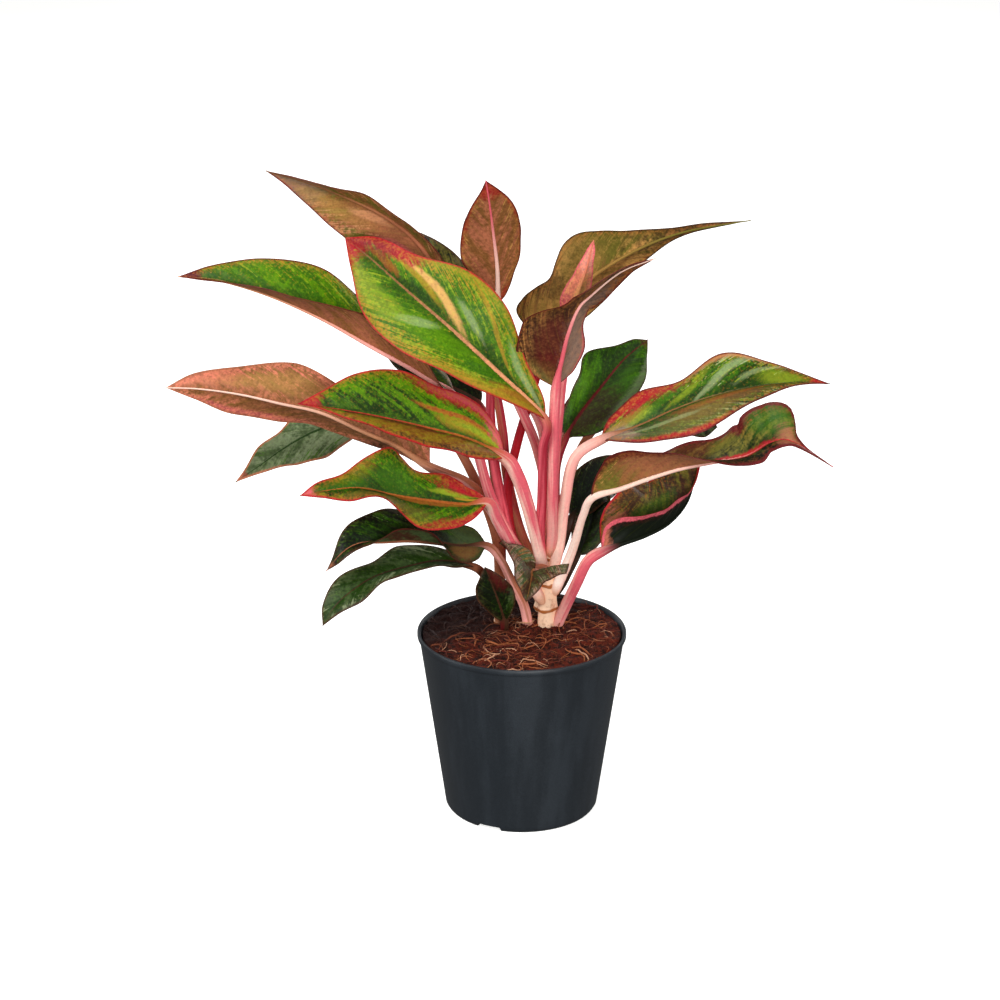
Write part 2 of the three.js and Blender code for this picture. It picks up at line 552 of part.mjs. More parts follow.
// A loose coir fibre lying on the soil, its ends sunk in it
function fibreSolid(random) {
  const away = FIBRE_NEAREST + FIBRE_SPREAD * Math.sqrt(random());
  const angle = 2 * Math.PI * random();
  const heading = 2 * Math.PI * random();
  const long = FIBRE_SHORTEST + FIBRE_LONGER * random();
  const bend = (random() - 0.5) * FIBRE_BEND;
  const rise = FIBRE_SUNK + FIBRE_LOWEST + FIBRE_HIGHER * random();
  const points = [];
  for (let i = 0; i < FIBRE_STEPS; i++) {
    const t = i / (FIBRE_STEPS - 1);
    const turn = heading + bend * t;
    const x = Math.cos(angle) * away + Math.cos(turn) * long * (t - 0.5);
    const y = Math.sin(angle) * away + Math.sin(turn) * long * (t - 0.5);
    points.push(new THREE.Vector3(x, y, soilHeight(x, y) - FIBRE_SUNK + rise * Math.sin(Math.PI * t)));
  }
  const reach = Math.max(...points.map((p) => Math.hypot(p.x, p.y)));
  if (reach > potRadius(SOIL_LEVEL) - WALL - FIBRE_CLEAR) {
    return null;
  }
  const corners = [0, 1, 2, 3].map((k) => new THREE.Vector2(
    Math.cos(k * Math.PI / 2) * FIBRE_RADIUS,
    Math.sin(k * Math.PI / 2) * FIBRE_RADIUS,
  ));
  return solid(new THREE.ExtrudeGeometry(new THREE.Shape(corners), {
    steps: FIBRE_STEPS, bevelEnabled: false, extrudePath: new THREE.CatmullRomCurve3(points),
  }));
}

function piece(name, body, { colour, roughness }) {
  const material = new THREE.MeshStandardMaterial({ color: colour, roughness, metalness: 0 });
  const mesh = new THREE.Mesh(geometryOf(body), material);
  mesh.name = name;
  return mesh;
}

const group = new THREE.Group();
group.add(piece("pot", potSolid(), FINISHES.pot));

// The stems, and the leaves that rise from below the soil, stand in plain holes in it
const random = dice(FIBRE_SEED);
let soil = soilSolid();
for (let laid = 0; laid < FIBRES;) {
  const fibre = fibreSolid(random);
  if (fibre) {
    soil = soil.add(fibre);
    laid++;
  }
}

// Each leaf clasps its stem, and is cut clear of the stem and of the leaves before it
const grown = [];
for (const stem of STEMS) {
  grown.push(stemSolid(stem, GAP));
  group.add(piece(stem.name, stemSolid(stem), FINISHES.stem));
}
for (const leaf of LEAVES) {
  const body = grown.reduce((rest, other) => rest.subtract(other), leafSolid(leaf));
  grown.push(leafSolid(leaf, GAP));
  group.add(piece(leaf.name, largest(body), FINISHES[leaf.finish]));
}
soil = grown.reduce((rest, other) => rest.subtract(other), soil);
group.add(piece("soil", largest(soil), FINISHES.soil));

export default group;
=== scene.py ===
"""The looks of a potted Chinese evergreen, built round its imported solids. Run as a script in Blender."""

import math
import random
from collections import namedtuple

import bmesh
import bpy
from bpy.props import FloatProperty, FloatVectorProperty, IntProperty, PointerProperty
from mathutils import Matrix, Vector, noise


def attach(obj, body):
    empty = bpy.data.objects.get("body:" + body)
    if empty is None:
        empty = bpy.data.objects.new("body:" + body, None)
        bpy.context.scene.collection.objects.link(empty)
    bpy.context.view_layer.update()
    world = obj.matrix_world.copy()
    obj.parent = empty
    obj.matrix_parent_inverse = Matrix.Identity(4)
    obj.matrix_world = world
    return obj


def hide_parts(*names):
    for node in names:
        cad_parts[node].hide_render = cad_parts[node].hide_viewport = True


bl_info = {
    "name": "Potted Chinese Evergreen",
    "version": (1, 0, 0),
    "blender": (4, 5, 0),
    "location": "View3D > Sidebar > Evergreen",
    "description": "Builds the leaves, stems, coir and nursery pot of a Chinese evergreen",
    "category": "Add Mesh",
}

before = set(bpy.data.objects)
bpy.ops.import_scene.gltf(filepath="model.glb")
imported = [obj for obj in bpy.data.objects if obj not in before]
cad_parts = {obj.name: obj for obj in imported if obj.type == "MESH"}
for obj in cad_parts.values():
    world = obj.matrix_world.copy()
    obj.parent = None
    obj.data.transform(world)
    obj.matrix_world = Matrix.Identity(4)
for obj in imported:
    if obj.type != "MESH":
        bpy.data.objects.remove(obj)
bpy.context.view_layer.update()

# The solids are in millimetres, and Blender's pieces in metres
MM = 0.001

# Leaves: the way they are drawn from, the places of their breadths, how their curves run, the nearest to a
# blade's foot that it is measured, and how far a half arches
FRONT = Vector((0, -0.94, 0.34))
STATIONS = (0, 0.07, 0.22, 0.4, 0.58, 0.76, 0.91, 1)
CURVE_TENSION = 0.5
FULLNESS_RISE = 0.6
FULLNESS_SCALE = 1.93
NEAR_FOOT = 0.004
ARCH = 0.06

# How finely a leaf is divided: across its blade, along it, along its stalk, and round its stalk
ACROSS = 28
ALONG = 96
STALK_ROWS = 40
ROUND = 14

# Blades, in millimetres: half the thickness in the middle, the share of it that the margin loses, the least
# breadth of a half and the breadth from which its relief is full
HALF_THICK = 0.34
THIN_MARGIN = 0.5
LEAST_HALF = 0.3
FULL_RELIEF = 12

# Lateral veins, in millimetres: how far apart they are, how they leave the midrib and curve towards the tip,
# and how far the right half's are set on from the left half's, in its relief and in its colours. The
# quilting's middle height is a share of its greatest.
VEIN_STEP = 12
VEIN_SLOPE = 1.5
VEIN_CURVE = 0.03
VEIN_STAGGER = 3
COLOUR_STAGGER = 60
QUILT_MIDDLE = 0.6

# The margins' waves: radians from foot to tip, and the short waves' height as a share of the long ones'
LONG_WAVES = 17
SHORT_WAVES = 31
SHORT_SHARE = 0.6

# Stalks and midribs: radii in millimetres, the share of a stalk that its sheath widens, the share of its
# radius that the clasp has, the groove's width in radians, and the share of its radius that a midrib sinks
STALK_RADIUS = 2.5
SHEATH_RADIUS = 3.3
SHEATH_SHARE = 0.75
CLASP = 0.6
GROOVE_WIDTH = 0.55
RIB_RADIUS = 1.55
RIB_TIP_RADIUS = 0.3
RIB_SINK = 0.55

# Pot and soil, in millimetres, as in the solids
POT_HEIGHT = 108
RIM_RADIUS = 60
BASE_RADIUS = 44
BEAD_HEIGHT = 3
BEAD_DEPTH = 0.7
BEAD_DROP = 0.4
WALL = 1.5
FOOT_HEIGHT = 4
FOOT_INSET = 3
FOOT_WIDTH = 3
PAD_RADIUS = 11
PAD_LIFT = 0.1
FOOT_SLOPE = 2
NOTCHES = 3
NOTCH_WIDTH = 15
NOTCH_HEIGHT = 2.8
FIRST_NOTCH = math.radians(244)
DRAINS = 5
DRAIN_RADIUS = 4
DRAIN_CIRCLE = 27
SOIL_LEVEL = 104.5
SOIL_LOOSE = 1.8
SOIL_CROWN = 1.2
SOIL_LUMP = 0.9

# The coir mix: its gap to the wall in millimetres, and how finely its top is divided, outwards and round
SOIL_GAP = 0.5
SOIL_RINGS = 72
SOIL_SIDES = 200

# The roundings of the pot's edges, in millimetres: of the foot, out from its ring and up from the ground, and
# of the bead and the lip, in from the rim and down from the top
FOOT_ROUND = ((1.2, 0), (2.1, 0.3), (2.6, 0.9))
BEAD_ROUND = ((0.25, BEAD_HEIGHT), (0, 2.5), (0, 0.7), (0.25, 0.2), (0.7, 0), (1.3, 0), (WALL, 0.3))

# The crumbs of coir: how many waves each size has to a millimetre, how high it stands, and its own noise
CRUMBS = ((0.22, 0.9, 3), (0.55, 1.1, 7), (1.3, 0.8, 1))

# Loose fibres, in millimetres and radians, and how much longer and stouter the stoutest are, and how much
# higher the highest rise
FIBRE_LENGTH = (5, 15)
FIBRE_BEND = (-2.4, 2.4)
FIBRE_RADIUS = 0.13
FIBRE_RISE = (0.4, 2.2)
STOUT_LENGTH = 14
STOUT_RADIUS = 0.5
HIGH_RISE = 2

# Stems: rows to a scar, how high the scars stand in millimetres and how wide they are as a share of the way
# from one to the next, and how high the knobs stand
STEM_ROWS = 16
SCAR_RISE = 0.5
SCAR_WIDTH = 0.07
KNOBS = 0.25

# The stage: how far the floor reaches in metres, how bright the world is, how wide the camera's sensor is in
# millimetres, and each light's name, its place and its size in metres, and its power in watts
FLOOR_REACH = 12
WORLD_LIGHT = 0.16
SENSOR = 36
LIGHTS = (
    ("key", (-0.6, -1.5, 1.8), 0.7, 32),
    ("front", (0.5, -2.4, 0.5), 1.0, 38),
    ("right", (1.9, -0.6, 0.8), 0.8, 6),
    ("left", (-1.9, -0.4, 0.7), 0.8, 12),
    ("top", (0.3, 0.3, 2.4), 1.0, 12),
    ("back left", (-1.5, 1.8, 0.9), 1.2, 20),
    ("back right", (1.5, 1.8, 0.9), 1.2, 20),
)

# Each stem: points up it, its radii at the foot and at the top, and its scars
Stem = namedtuple("Stem", "name points radius scars")
STEMS = (
    Stem("stem_main", ((15, 8, 84), (15, 10, 120), (13, 9, 158)), (7, 4), 5),
    Stem("stem_left", ((-11, 13, 84), (-12, 14, 110), (-14, 14, 136)), (4.6, 3), 3),
    Stem("stem_back", ((10, 33, 84), (12, 33, 112), (15, 33, 140)), (5, 3), 3),
)


# Each leaf: how much thicker than most its stalk is, points up its stalk, the last at the foot of the blade,
# points along the midrib, the breadths of the left half, how far the left margin stands to the front, and
# the same for the right half, and the stations of the breadths where they are the leaf's own. A half of
# less than nothing is folded over the midrib.
Leaf = namedtuple("Leaf", "number slot shows stout stalk rib left left_out right right_out stations",
                  defaults=(STATIONS,))
LEAVES = (
    Leaf("leaf_01", "leaf_bronze", "under", 1,
         ((14, 13, 150), (15, 15, 166), (14, 14, 186), (10, 10, 208), (3, 6, 230), (-14, 0, 267),
          (-40, -2, 310)),
         ((-56, -4, 336), (-74, -10, 353), (-98, -14, 366), (-119, -18, 375), (-137, -22, 381)),
         (8, 18, 21, 19, 12, 4), (-14, -18, -14), (5, 4, 3, 4, 1, 0), (14, 20, 14)),
    Leaf("leaf_02", "leaf_dark", "upper", 1,
         ((13, 15, 132), (8, 20, 139), (0, 21, 158), (-5, 22, 176), (-9, 23, 197), (-11, 23, 221),
          (-16, 24, 247), (-29, 29, 278)),
         ((-38, 34, 300), (-51, 38, 315), (-66, 42, 327), (-80, 46, 332)),
         (5, 10, 12, 12, 9, 4), (4, 4, 4), (6, 12, 13, 12, 8, 4), (4, 4, 4)),
    Leaf("leaf_03", "leaf_green", "upper", 1,
         ((12, 7, 148), (10, -1, 164), (11, -10, 191), (11, -22, 224), (12, -30, 245)),
         ((-12, -34, 271), (-37, -36, 296), (-66, -28, 320), (-82, -22, 333), (-96, -16, 343)),
         (4, 11, 19, 27, 25, 11), (16, 16, 6), (7, 16, 29, 30, 18, 11), (4, -2, 2)),
    Leaf("leaf_04", "leaf_green", "upper", 1.15,
         ((11, 8, 138), (-5, -1, 162), (-18, -6, 192), (-27, -9, 226), (-37, -11, 251)),
         ((-56, -14, 266), (-83, -18, 283), (-110, -22, 300), (-137, -24, 313), (-163, -24, 321),
          (-186, -22, 323)),
         (1, -11, -13, -6, -1, 1), (20, 28, 12), (8, 15, 20, 25, 18, 7), (-18, -26, -8)),
    Leaf("leaf_05", "leaf_bronze", "under", 1,
         ((12, 10, 134), (1, 8, 148), (-7, 5, 165), (-12, 4, 187), (-16, 5, 212), (-18, 8, 244),
          (-16, 7, 275), (-14, 3, 300)),
         ((-14, -8, 323), (-16, -18, 345), (-18, -28, 364), (-20, -36, 379)),
         (9, 15, 19, 17, 12, 4), (-4, -6, -2), (5, 9, 14, 15, 13, 6), (-6, -8, -2)),
    Leaf("leaf_06", "leaf_bronze", "under", 1.2,
         ((11, 11, 128), (-1, 12, 149), (-10, 10, 165), (-22, 2, 187), (-32, -6, 200), (-51, -16, 212)),
         ((-68, -22, 226), (-89, -28, 238), (-110, -34, 250), (-131, -40, 257), (-152, -46, 264),
          (-173, -52, 269), (-191, -56, 271)),
         (3, 5, 8, 9, 11, 5), (-14, -28, -10), (12, 16, 16, 23, 15, 8), (0, 8, 6)),
    Leaf("leaf_07", "leaf_dark", "upper", 1,
         ((-12, 14, 124), (-16, 17, 164), (-38, 20, 214), (-61, 20, 231), (-83, 20, 228)),
         ((-100, 18, 227), (-117, 14, 223), (-134, 8, 215), (-147, 2, 207), (-161, -4, 199)),
         (6, 12, 16, 13, 6, 2), (6, 10, 6), (8, 14, 15, 10, 9, 3), (-4, -6, -4)),
    Leaf("leaf_08", "leaf_green", "upper", 1.6,
         ((13, 5, 140), (9, -3, 160), (3, -12, 188), (-3, -18, 208), (-10, -22, 220)),
         ((-29, -30, 233), (-51, -38, 242), (-72, -46, 250), (-93, -54, 257), (-120, -62, 264)),
         (5, 9, 10, 8, 5, 1), (14, 24, 12), (10, 21, 24, 27, 21, 8), (-6, -8, -4)),
    Leaf("leaf_09", "leaf_dark", "upper", 1,
         ((-13, 15, 130), (-12, 21, 148), (-14, 28, 176), (-18, 34, 205), (-24, 34, 232)),
         ((-41, 40, 242), (-58, 46, 251), (-77, 52, 255)),
         (6, 12, 14, 12, 8, 4), (6, 8, 4), (6, 12, 14, 12, 8, 4), (-4, -4, -4)),
    Leaf("leaf_10", "leaf_green", "upper", 1.35,
         ((12, 6, 122), (2, 0, 143), (-7, -9, 164), (-14, -19, 182), (-19, -26, 195)),
         ((-32, -32, 196), (-51, -40, 201), (-70, -48, 207), (-88, -56, 214), (-104, -62, 215),
          (-120, -68, 214)),
         (6, 14, 15, 3, 7, 3), (8, 22, 10), (8, 15, 16, 25, 9, 5), (-6, -12, -4)),
    Leaf("leaf_11", "leaf_dark", "upper", 1,
         ((5, 12, 90), (4, 11, 104), (1, 6, 121), (-6, 0, 138), (-12, -6, 153), (-20, -12, 164)),
         ((-35, -20, 167), (-48, -28, 172), (-62, -38, 177), (-76, -48, 180), (-89, -56, 182),
          (-98, -62, 179), (-107, -64, 169)),
         (8, 8, -5, -6, 2, 3), (6, 24, 6), (10, 13, 15, 18, 13, 3), (-6, -16, -6)),
    Leaf("leaf_12", "leaf_dark", "upper", 1,
         ((-12, 13, 106), (-14, 8, 121), (-19, 2, 136), (-27, -4, 148)),
         ((-46, -16, 156), (-65, -28, 157), (-82, -40, 156), (-95, -50, 151), (-104, -56, 144),
          (-110, -60, 135)),
         (1, 3, 3, 4, 8, 4), (10, 20, 8), (4, 8, 13, 8, 11, 6), (-8, -14, -4)),
    Leaf("leaf_13", "leaf_dark", "upper", 1,
         ((14, 6, 140), (12, -2, 146), (6, -14, 150)),
         ((5, -24, 150), (4, -34, 148), (2, -42, 142)),
         (12, 21, 16, 9, 5, 2), (14, 8, 2), (10, 19, 19, 13, 8, 3), (24, 40, 5)),
    Leaf("leaf_14", "leaf_bronze", "under", 1,
         ((13, 12, 130), (3, 15, 144), (-6, 16, 160), (-8, 15, 188), (-3, 14, 215), (5, 15, 244),
          (13, 18, 273)),
         ((21, 16, 292), (35, 14, 310), (51, 10, 323), (69, 2, 335), (90, -8, 345), (122, -18, 353)),
         (21, 22, 19, 16, 20, 24, 24, 19, 11, 4, 2), (4, 12, 0),
         (8, 11, 13, 14, 14, 13, 12, 10, 6, 2, 1), (-16, -20, 0),
         (0, 0.07, 0.12, 0.17, 0.22, 0.28, 0.33, 0.38, 0.45, 0.55, 0.7, 0.85, 1)),
    Leaf("leaf_15", "leaf_bronze", "under", 1.2,
         ((16, 8, 150), (17, 0, 164), (17, -12, 191), (17, -20, 229), (18, -24, 261)),
         ((21, -28, 279), (24, -32, 294), (29, -34, 308), (35, -34, 315), (52, -34, 329),
          (71, -32, 336)),
         (15, 22, 25, 25, 25, 24, 17, 8, 4, 2, 1), (6, 18, 10),
         (8, 10, 11, 10, 8, 6, 6, 6, 6, 6, 3), (-12, -22, -8),
         (0, 0.08, 0.14, 0.21, 0.27, 0.32, 0.38, 0.44, 0.49, 0.55, 0.68, 0.85, 1)),
    Leaf("leaf_16", "leaf_dark", "upper", 1,
         ((15, 13, 140), (18, 17, 158), (19, 20, 180), (20, 24, 200), (25, 30, 214)),
         ((33, 36, 226), (46, 46, 240), (59, 56, 253), (73, 68, 261)),
         (6, 10, 14, 19, 9, 5), (6, 8, 4), (9, 17, 19, 19, 16, 7), (6, 8, 4)),
    Leaf("leaf_17", "leaf_bronze", "under", 1,
         ((15, 10, 152), (17, 6, 168), (18, 2, 204), (21, -4, 247), (25, -8, 286)),
         ((28, -11, 304), (34, -13, 324), (38, -14, 341)),
         (3, 7, 8, 6, 4, 2), (-6, -10, -4), (2, 5, 6, 5, 3, 2), (-6, -12, 0)),
    Leaf("leaf_18", "leaf_green", "upper", 1.25,
         ((17, 8, 138), (21, 3, 158), (24, -4, 188), (29, -8, 214), (43, -10, 226)),
         ((65, -8, 234), (87, -4, 243), (110, 2, 249), (133, 8, 252), (156, 14, 252), (173, 18, 250)),
         (10, 17, 14, 22, 13, 4), (-8, -20, -8), (5, 13, 17, 11, 4, 1), (10, 22, 14)),
    Leaf("leaf_19", "leaf_bronze", "upper", 0.9,
         ((18, 9, 126), (26, 1, 149), (30, -5, 164), (34, -12, 182), (39, -18, 195)),
         ((54, -22, 202), (70, -27, 210), (86, -32, 217), (102, -37, 222), (121, -41, 227),
          (134, -44, 236), (146, -46, 237), (168, -50, 224)),
         (6, 9, 11, 11, 13, 13, 15, 18, 18, 18, 20, 21, 19, 4), (-12, -20, 0),
         (-12, -18, -18, -12, -7, -2, 2, 4, 5, 6, 7, 5, 4, 2), (14, 28, 4),
         (0, 0.06, 0.12, 0.22, 0.32, 0.42, 0.5, 0.55, 0.59, 0.63, 0.66, 0.69, 0.74, 0.79, 0.83, 1)),
    Leaf("leaf_20", "leaf_green", "upper", 1.3,
         ((19, 8, 104), (25, 3, 121), (31, -2, 137), (37, -6, 152), (45, -8, 159)),
         ((55, -6, 163), (70, 0, 166), (84, 10, 170), (95, 24, 178), (101, 38, 192), (105, 48, 200)),
         (17, 28, 30, 29, 22, 10), (-8, -16, -4), (-12, -12, -8, -5, 1, 1), (14, 22, 4)),
    Leaf("leaf_21", "leaf_bronze", "upper", 1,
         ((16, 31, 134), (20, 30, 150), (25, 34, 178), (33, 42, 201), (45, 50, 215)),
         ((63, 58, 217), (81, 66, 214), (99, 74, 209), (116, 82, 203)),
         (4, 7, 8, 8, 8, 7), (4, 6, 2), (4, 7, 8, 8, 8, 7), (4, 6, 2)),
    Leaf("leaf_22", "leaf_dark", "upper", 1,
         ((14, 30, 112), (22, 25, 124), (27, 28, 132), (32, 32, 141)),
         ((37, 36, 150), (41, 42, 159), (44, 50, 169), (46, 62, 180)),
         (5, 9, 10, 9, 7, 3), (4, 4, 2), (5, 9, 10, 9, 7, 3), (4, 4, 2)),
    Leaf("leaf_23", "leaf_dark", "upper", 1,
         ((14, 34, 122), (20, 34, 138), (25, 36, 150), (29, 38, 162)),
         ((34, 44, 169), (41, 54, 176), (53, 68, 179), (71, 84, 178)),
         (6, 11, 13, 12, 9, 4), (4, 4, 2), (6, 11, 13, 12, 9, 4), (4, 4, 2)),
    Leaf("leaf_24", "leaf_dark", "upper", 1,
         ((-10, 6, 88), (-10, 4, 103), (-10, 0, 113)),
         ((-12, -5, 123), (-16, -10, 137), (-21, -14, 152)),
         (3, 6, 9, 11, 9, 4), (2, 2, 1), (3, 7, 10, 10, 7, 3), (2, 2, 1)),
    Leaf("leaf_25", "leaf_dark", "upper", 1,
         ((13, 35, 136), (15, 46, 150), (15, 52, 181), (11, 58, 212), (-4, 64, 235), (-18, 68, 249)),
         ((-36, 80, 260), (-54, 96, 268), (-69, 114, 272), (-78, 130, 272)),
         (6, 11, 13, 12, 9, 4), (6, 6, 4), (6, 11, 13, 12, 9, 4), (6, 6, 4)),
    Leaf("leaf_26", "leaf_dark", "upper", 1,
         ((16, 34, 136), (19, 39, 150), (19, 45, 183), (22, 55, 203)),
         ((34, 72, 214), (49, 94, 219), (63, 118, 216), (73, 138, 207)),
         (6, 11, 13, 12, 9, 4), (6, 6, 4), (6, 11, 13, 12, 9, 4), (6, 6, 4)),
)


def linear(hexadecimal):
    """The linear colour of an sRGB one."""
    parts = [(hexadecimal >> shift & 255) / 255 for shift in (16, 8, 0)]
    return tuple(p / 12.92 if p <= 0.04045 else ((p + 0.055) / 1.055) ** 2.4 for p in parts)


def paint(name, hexadecimal, use):
    """A colour that a user may change."""
    return FloatVectorProperty(name=name, description=use, default=linear(hexadecimal), subtype="COLOR",
                               size=3, min=0, max=1)


def length(name, value, use):
    """A size in metres that a user may change."""
    return FloatProperty(name=name, description=use, default=value, min=0, unit="LENGTH", precision=4)


class LeafPaints(bpy.types.PropertyGroup):
    """The colours that the leaves are mixed from."""
    # Black green is also painted shade, on leaves and strips of leaves that stand in deep shade
    black: paint("Black green", 0x0E1409, "The deepest shade of the oldest leaves")
    deep: paint("Deep green", 0x1E3608, "The dark of a green blade")
    green: paint("Green", 0x366206, "The body of a green blade")
    bright: paint("Bright green", 0x4E7A04, "The light green of a young blade")
    lime: paint("Lime", 0x86961E, "The streaks along the veins")
    gold: paint("Gold", 0xA2801E, "The yellowed streaks near a margin")
    cream: paint("Cream", 0xE2A862, "The palest streaks")
    # Mist is also the painted highlights on the glossy blades
    mist: paint("Mist", 0xA8B880, "The shine and the palest green streaks")
    peach: paint("Peach", 0xD8946A, "The streaks next to a midrib")
    red: paint("Red", 0xA81A24, "The bright margins")
    rust: paint("Rust", 0x9E5420, "The fringe inside a margin")
    crimson: paint("Crimson", 0xA82838, "The shaded stalks")
    wine: paint("Wine", 0x5E1618, "The dark margins and tips")
    pink: paint("Pink", 0xE0606C, "The stalks")
    blush: paint("Blush", 0xF6AAA0, "The light side of the stalks")
    shell: paint("Shell", 0xFAD0BE, "The palest stalks and midribs")
    husk: paint("Husk", 0xE8A880, "The foot of a stalk")
    rose: paint("Rose", 0xA86446, "The flush on the under sides")
    mauve: paint("Mauve", 0x967868, "The dull shine on the under sides")
    ivory: paint("Ivory", 0xFFE8DA, "The shine along the palest stalks")
    salmon: paint("Salmon", 0xDC7C62, "The flush of the youngest leaf")
    bronze: paint("Bronze", 0x85562E, "The body of the under sides")
    tan: paint("Tan", 0xB88848, "The pale mottling of the under sides")
    olive: paint("Olive", 0x6A6224, "The green in the under sides")
    umber: paint("Umber", 0x42281A, "The dark under sides")
    slate: paint("Slate green", 0x445430, "The dull green of an old blade")
    grey: paint("Grey green", 0x7A8662, "The pale veins of an old blade")


class LeafSettings(bpy.types.PropertyGroup):
    """The sizes of the leaves' fine relief."""
    quilting: length("Quilting", 0.00032, "How far the blade stands up between its lateral veins")
    ripple: length("Ripple", 0.0006, "How far the margins wave")
    groove: FloatProperty(name="Groove", description="How deep the channel in a stalk is, as a share of it",
                          default=0.3, min=0, max=0.6, subtype="FACTOR")


class PotSettings(bpy.types.PropertyGroup):
    """The nursery pot."""
    plastic: paint("Plastic", 0x1C2126, "The moulded plastic")
    bloom: paint("Bloom", 0x2C3238, "The paler bloom that handling leaves on it")
    sides: IntProperty(name="Sides", description="The number of faces round the pot", default=144, min=48)


class SoilSettings(bpy.types.PropertyGroup):
    """The coir mix and its loose fibres."""
    # This dark coir colour is also the painted shade in the hollows of the relief and the painted shadow
    # behind the stems on the left
    dark: paint("Dark coir and painted shade", 0x1E0805, "The hollows of the mix")
    brown: paint("Coir", 0x602010, "The crumbs of the mix")
    tan: paint("Fibre", 0xA45C34, "The loose fibres")
    straw: paint("Root", 0xD09A78, "The palest fibres and roots")
    fibres: IntProperty(name="Fibres", description="The number of loose fibres", default=380, min=0)
    crumb: length("Crumb", 0.0009, "How rough the surface is")


class StemSettings(bpy.types.PropertyGroup):
    """The stems."""
    bark: paint("Bark", 0xFFD6B4, "The skin between the scars")
    scar: paint("Scar", 0xA85E28, "The ring scars")


class StageSettings(bpy.types.PropertyGroup):
    """The camera, the floor and the lights."""
    distance: length("Distance", 1.5, "From the camera to the middle of the plant")
    elevation: FloatProperty(name="Elevation", description="The camera's height as an angle",
                             default=math.radians(19.9), subtype="ANGLE")
    lens: FloatProperty(name="Lens", description="The focal length in millimetres", default=95.76, min=10)
    target: FloatVectorProperty(name="Target", description="The point that the camera looks at",
                                default=(-0.0125, 0, 0.187), subtype="TRANSLATION", unit="LENGTH")
    floor: paint("Floor", 0xF4F4F2, "The plain floor")
    glow: FloatProperty(name="Glow", description="How much light of its own the floor gives", default=0.8,
                        min=0)
    light: FloatProperty(name="Light", description="How bright the lights are", default=1, min=0)


class Value:
    """A socket of a material, on which sums are written as in plain Python."""

    def __init__(self, finish, socket):
        self.finish = finish
        self.socket = socket

    def sum(self, operation, first, second=None):
        sockets = {0: first} if second is None else {0: first, 1: second}
        return self.finish.add("ShaderNodeMath", {"operation": operation}, sockets)

    def __add__(self, other):
        return self.sum("ADD", self, other)

    __radd__ = __add__

    def __mul__(self, other):
        return self.sum("MULTIPLY", self, other)

    __rmul__ = __mul__

    def __sub__(self, other):
        return self.sum("SUBTRACT", self, other)

    def __rsub__(self, other):
        return self.sum("SUBTRACT", other, self)

    def __truediv__(self, other):
        return self.sum("DIVIDE", self, other)

    def __pow__(self, other):
        return self.sum("POWER", self, other)

    def __abs__(self):
        return self.sum("ABSOLUTE", self)

    def sine(self):
        return self.sum("SINE", self)

    def root(self):
        return self.sum("SQRT", self)

    def least(self, other):
        return self.sum("MINIMUM", self, other)

    def most(self, other):
        return self.sum("MAXIMUM", self, other)

    def step(self, low, high, start=0, end=1):
        """Smoothly from start to end as this goes from low to high."""
        return self.finish.add("ShaderNodeMapRange", {"interpolation_type": "SMOOTHSTEP"},
                               {0: self, 1: low, 2: high, 3: start, 4: end})


class Finish:
    """A material in the making."""

    def __init__(self, name):
        self.material = bpy.data.materials.new(name)
        self.material.use_nodes = True
        self.tree = self.material.node_tree
        self.tree.nodes.clear()
        self.shader = self.tree.nodes.new("ShaderNodeBsdfPrincipled")
        output = self.tree.nodes.new("ShaderNodeOutputMaterial")
        self.tree.links.new(self.shader.outputs[0], output.inputs[0])

    def feed(self, socket, value):
        """Links a value to a socket, or sets it there."""
        if isinstance(value, Value):
            self.tree.links.new(value.socket, socket)
        elif socket.type == "RGBA" and len(value) == 3:
            socket.default_value = (*value, 1)
        else:
            socket.default_value = value

    def add(self, kind, settings=None, sockets=None, out=0):
        """A node's output, its settings set first and then its sockets."""
        node = self.tree.nodes.new(kind)
        for key, setting in (settings or {}).items():
            setattr(node, key, setting)
        for key, value in (sockets or {}).items():
            self.feed(node.inputs[key], value)
        return Value(self, node.outputs[out])

    def mix(self, factor, first, second):
        """A colour part of the way from one to another."""
        return self.add("ShaderNodeMix", {"data_type": "RGBA"}, {0: factor, 6: first, 7: second}, 2)

    def parts(self, vector):
        """The three numbers of a vector."""
        split = self.add("ShaderNodeSeparateXYZ", sockets={0: vector})
        return [Value(self, socket) for socket in split.socket.node.outputs]

    def attribute(self, name):
        """The three numbers of an attribute."""
        return self.parts(self.add("ShaderNodeAttribute", {"attribute_name": name}, out=1))

    def number(self, name):
        """The number of an attribute that has only one."""
        return self.add("ShaderNodeAttribute", {"attribute_name": name}, out=2)

    def place(self):
        """Object coordinates."""
        return self.add("ShaderNodeTexCoord", out=3)

    def vector(self, x, y, z):
        return self.add("ShaderNodeCombineXYZ", sockets={0: x, 1: y, 2: z})

    def noise(self, vector, scale, detail, rough, distortion=0):
        return self.add("ShaderNodeTexNoise", sockets={
            "Vector": vector, "Scale": scale, "Detail": detail, "Roughness": rough, "Distortion": distortion})

    def bump(self, height, distance, strength):
        sockets = {"Height": height, "Distance": distance, "Strength": strength}
        return self.add("ShaderNodeBump", sockets=sockets)

    def done(self, **values):
        """The material, with the shader's own sockets set."""
        for key, value in values.items():
            self.feed(self.shader.inputs[key.replace("_", " ").title().replace("Ior", "IOR")], value)
        return self.material


# One side of a leaf: its dark and light grounds, its streaks and flecks and how many there are, its
# margin, the margin's width in millimetres, its fringe, how far the two bleed in along the veins, how
# dark it is beside the midrib, its dots and how strong they are, and patches
Coat = namedtuple(
    "Coat",
    "dark light streak streaks fleck flecks margin width fringe bleed beside dot dots patches",
    defaults=("deep", "green", "lime", 0.5, "gold", 0.3, "wine", 0.7, "rust", 0.4, 0.6, "rust", 0.5, ()))


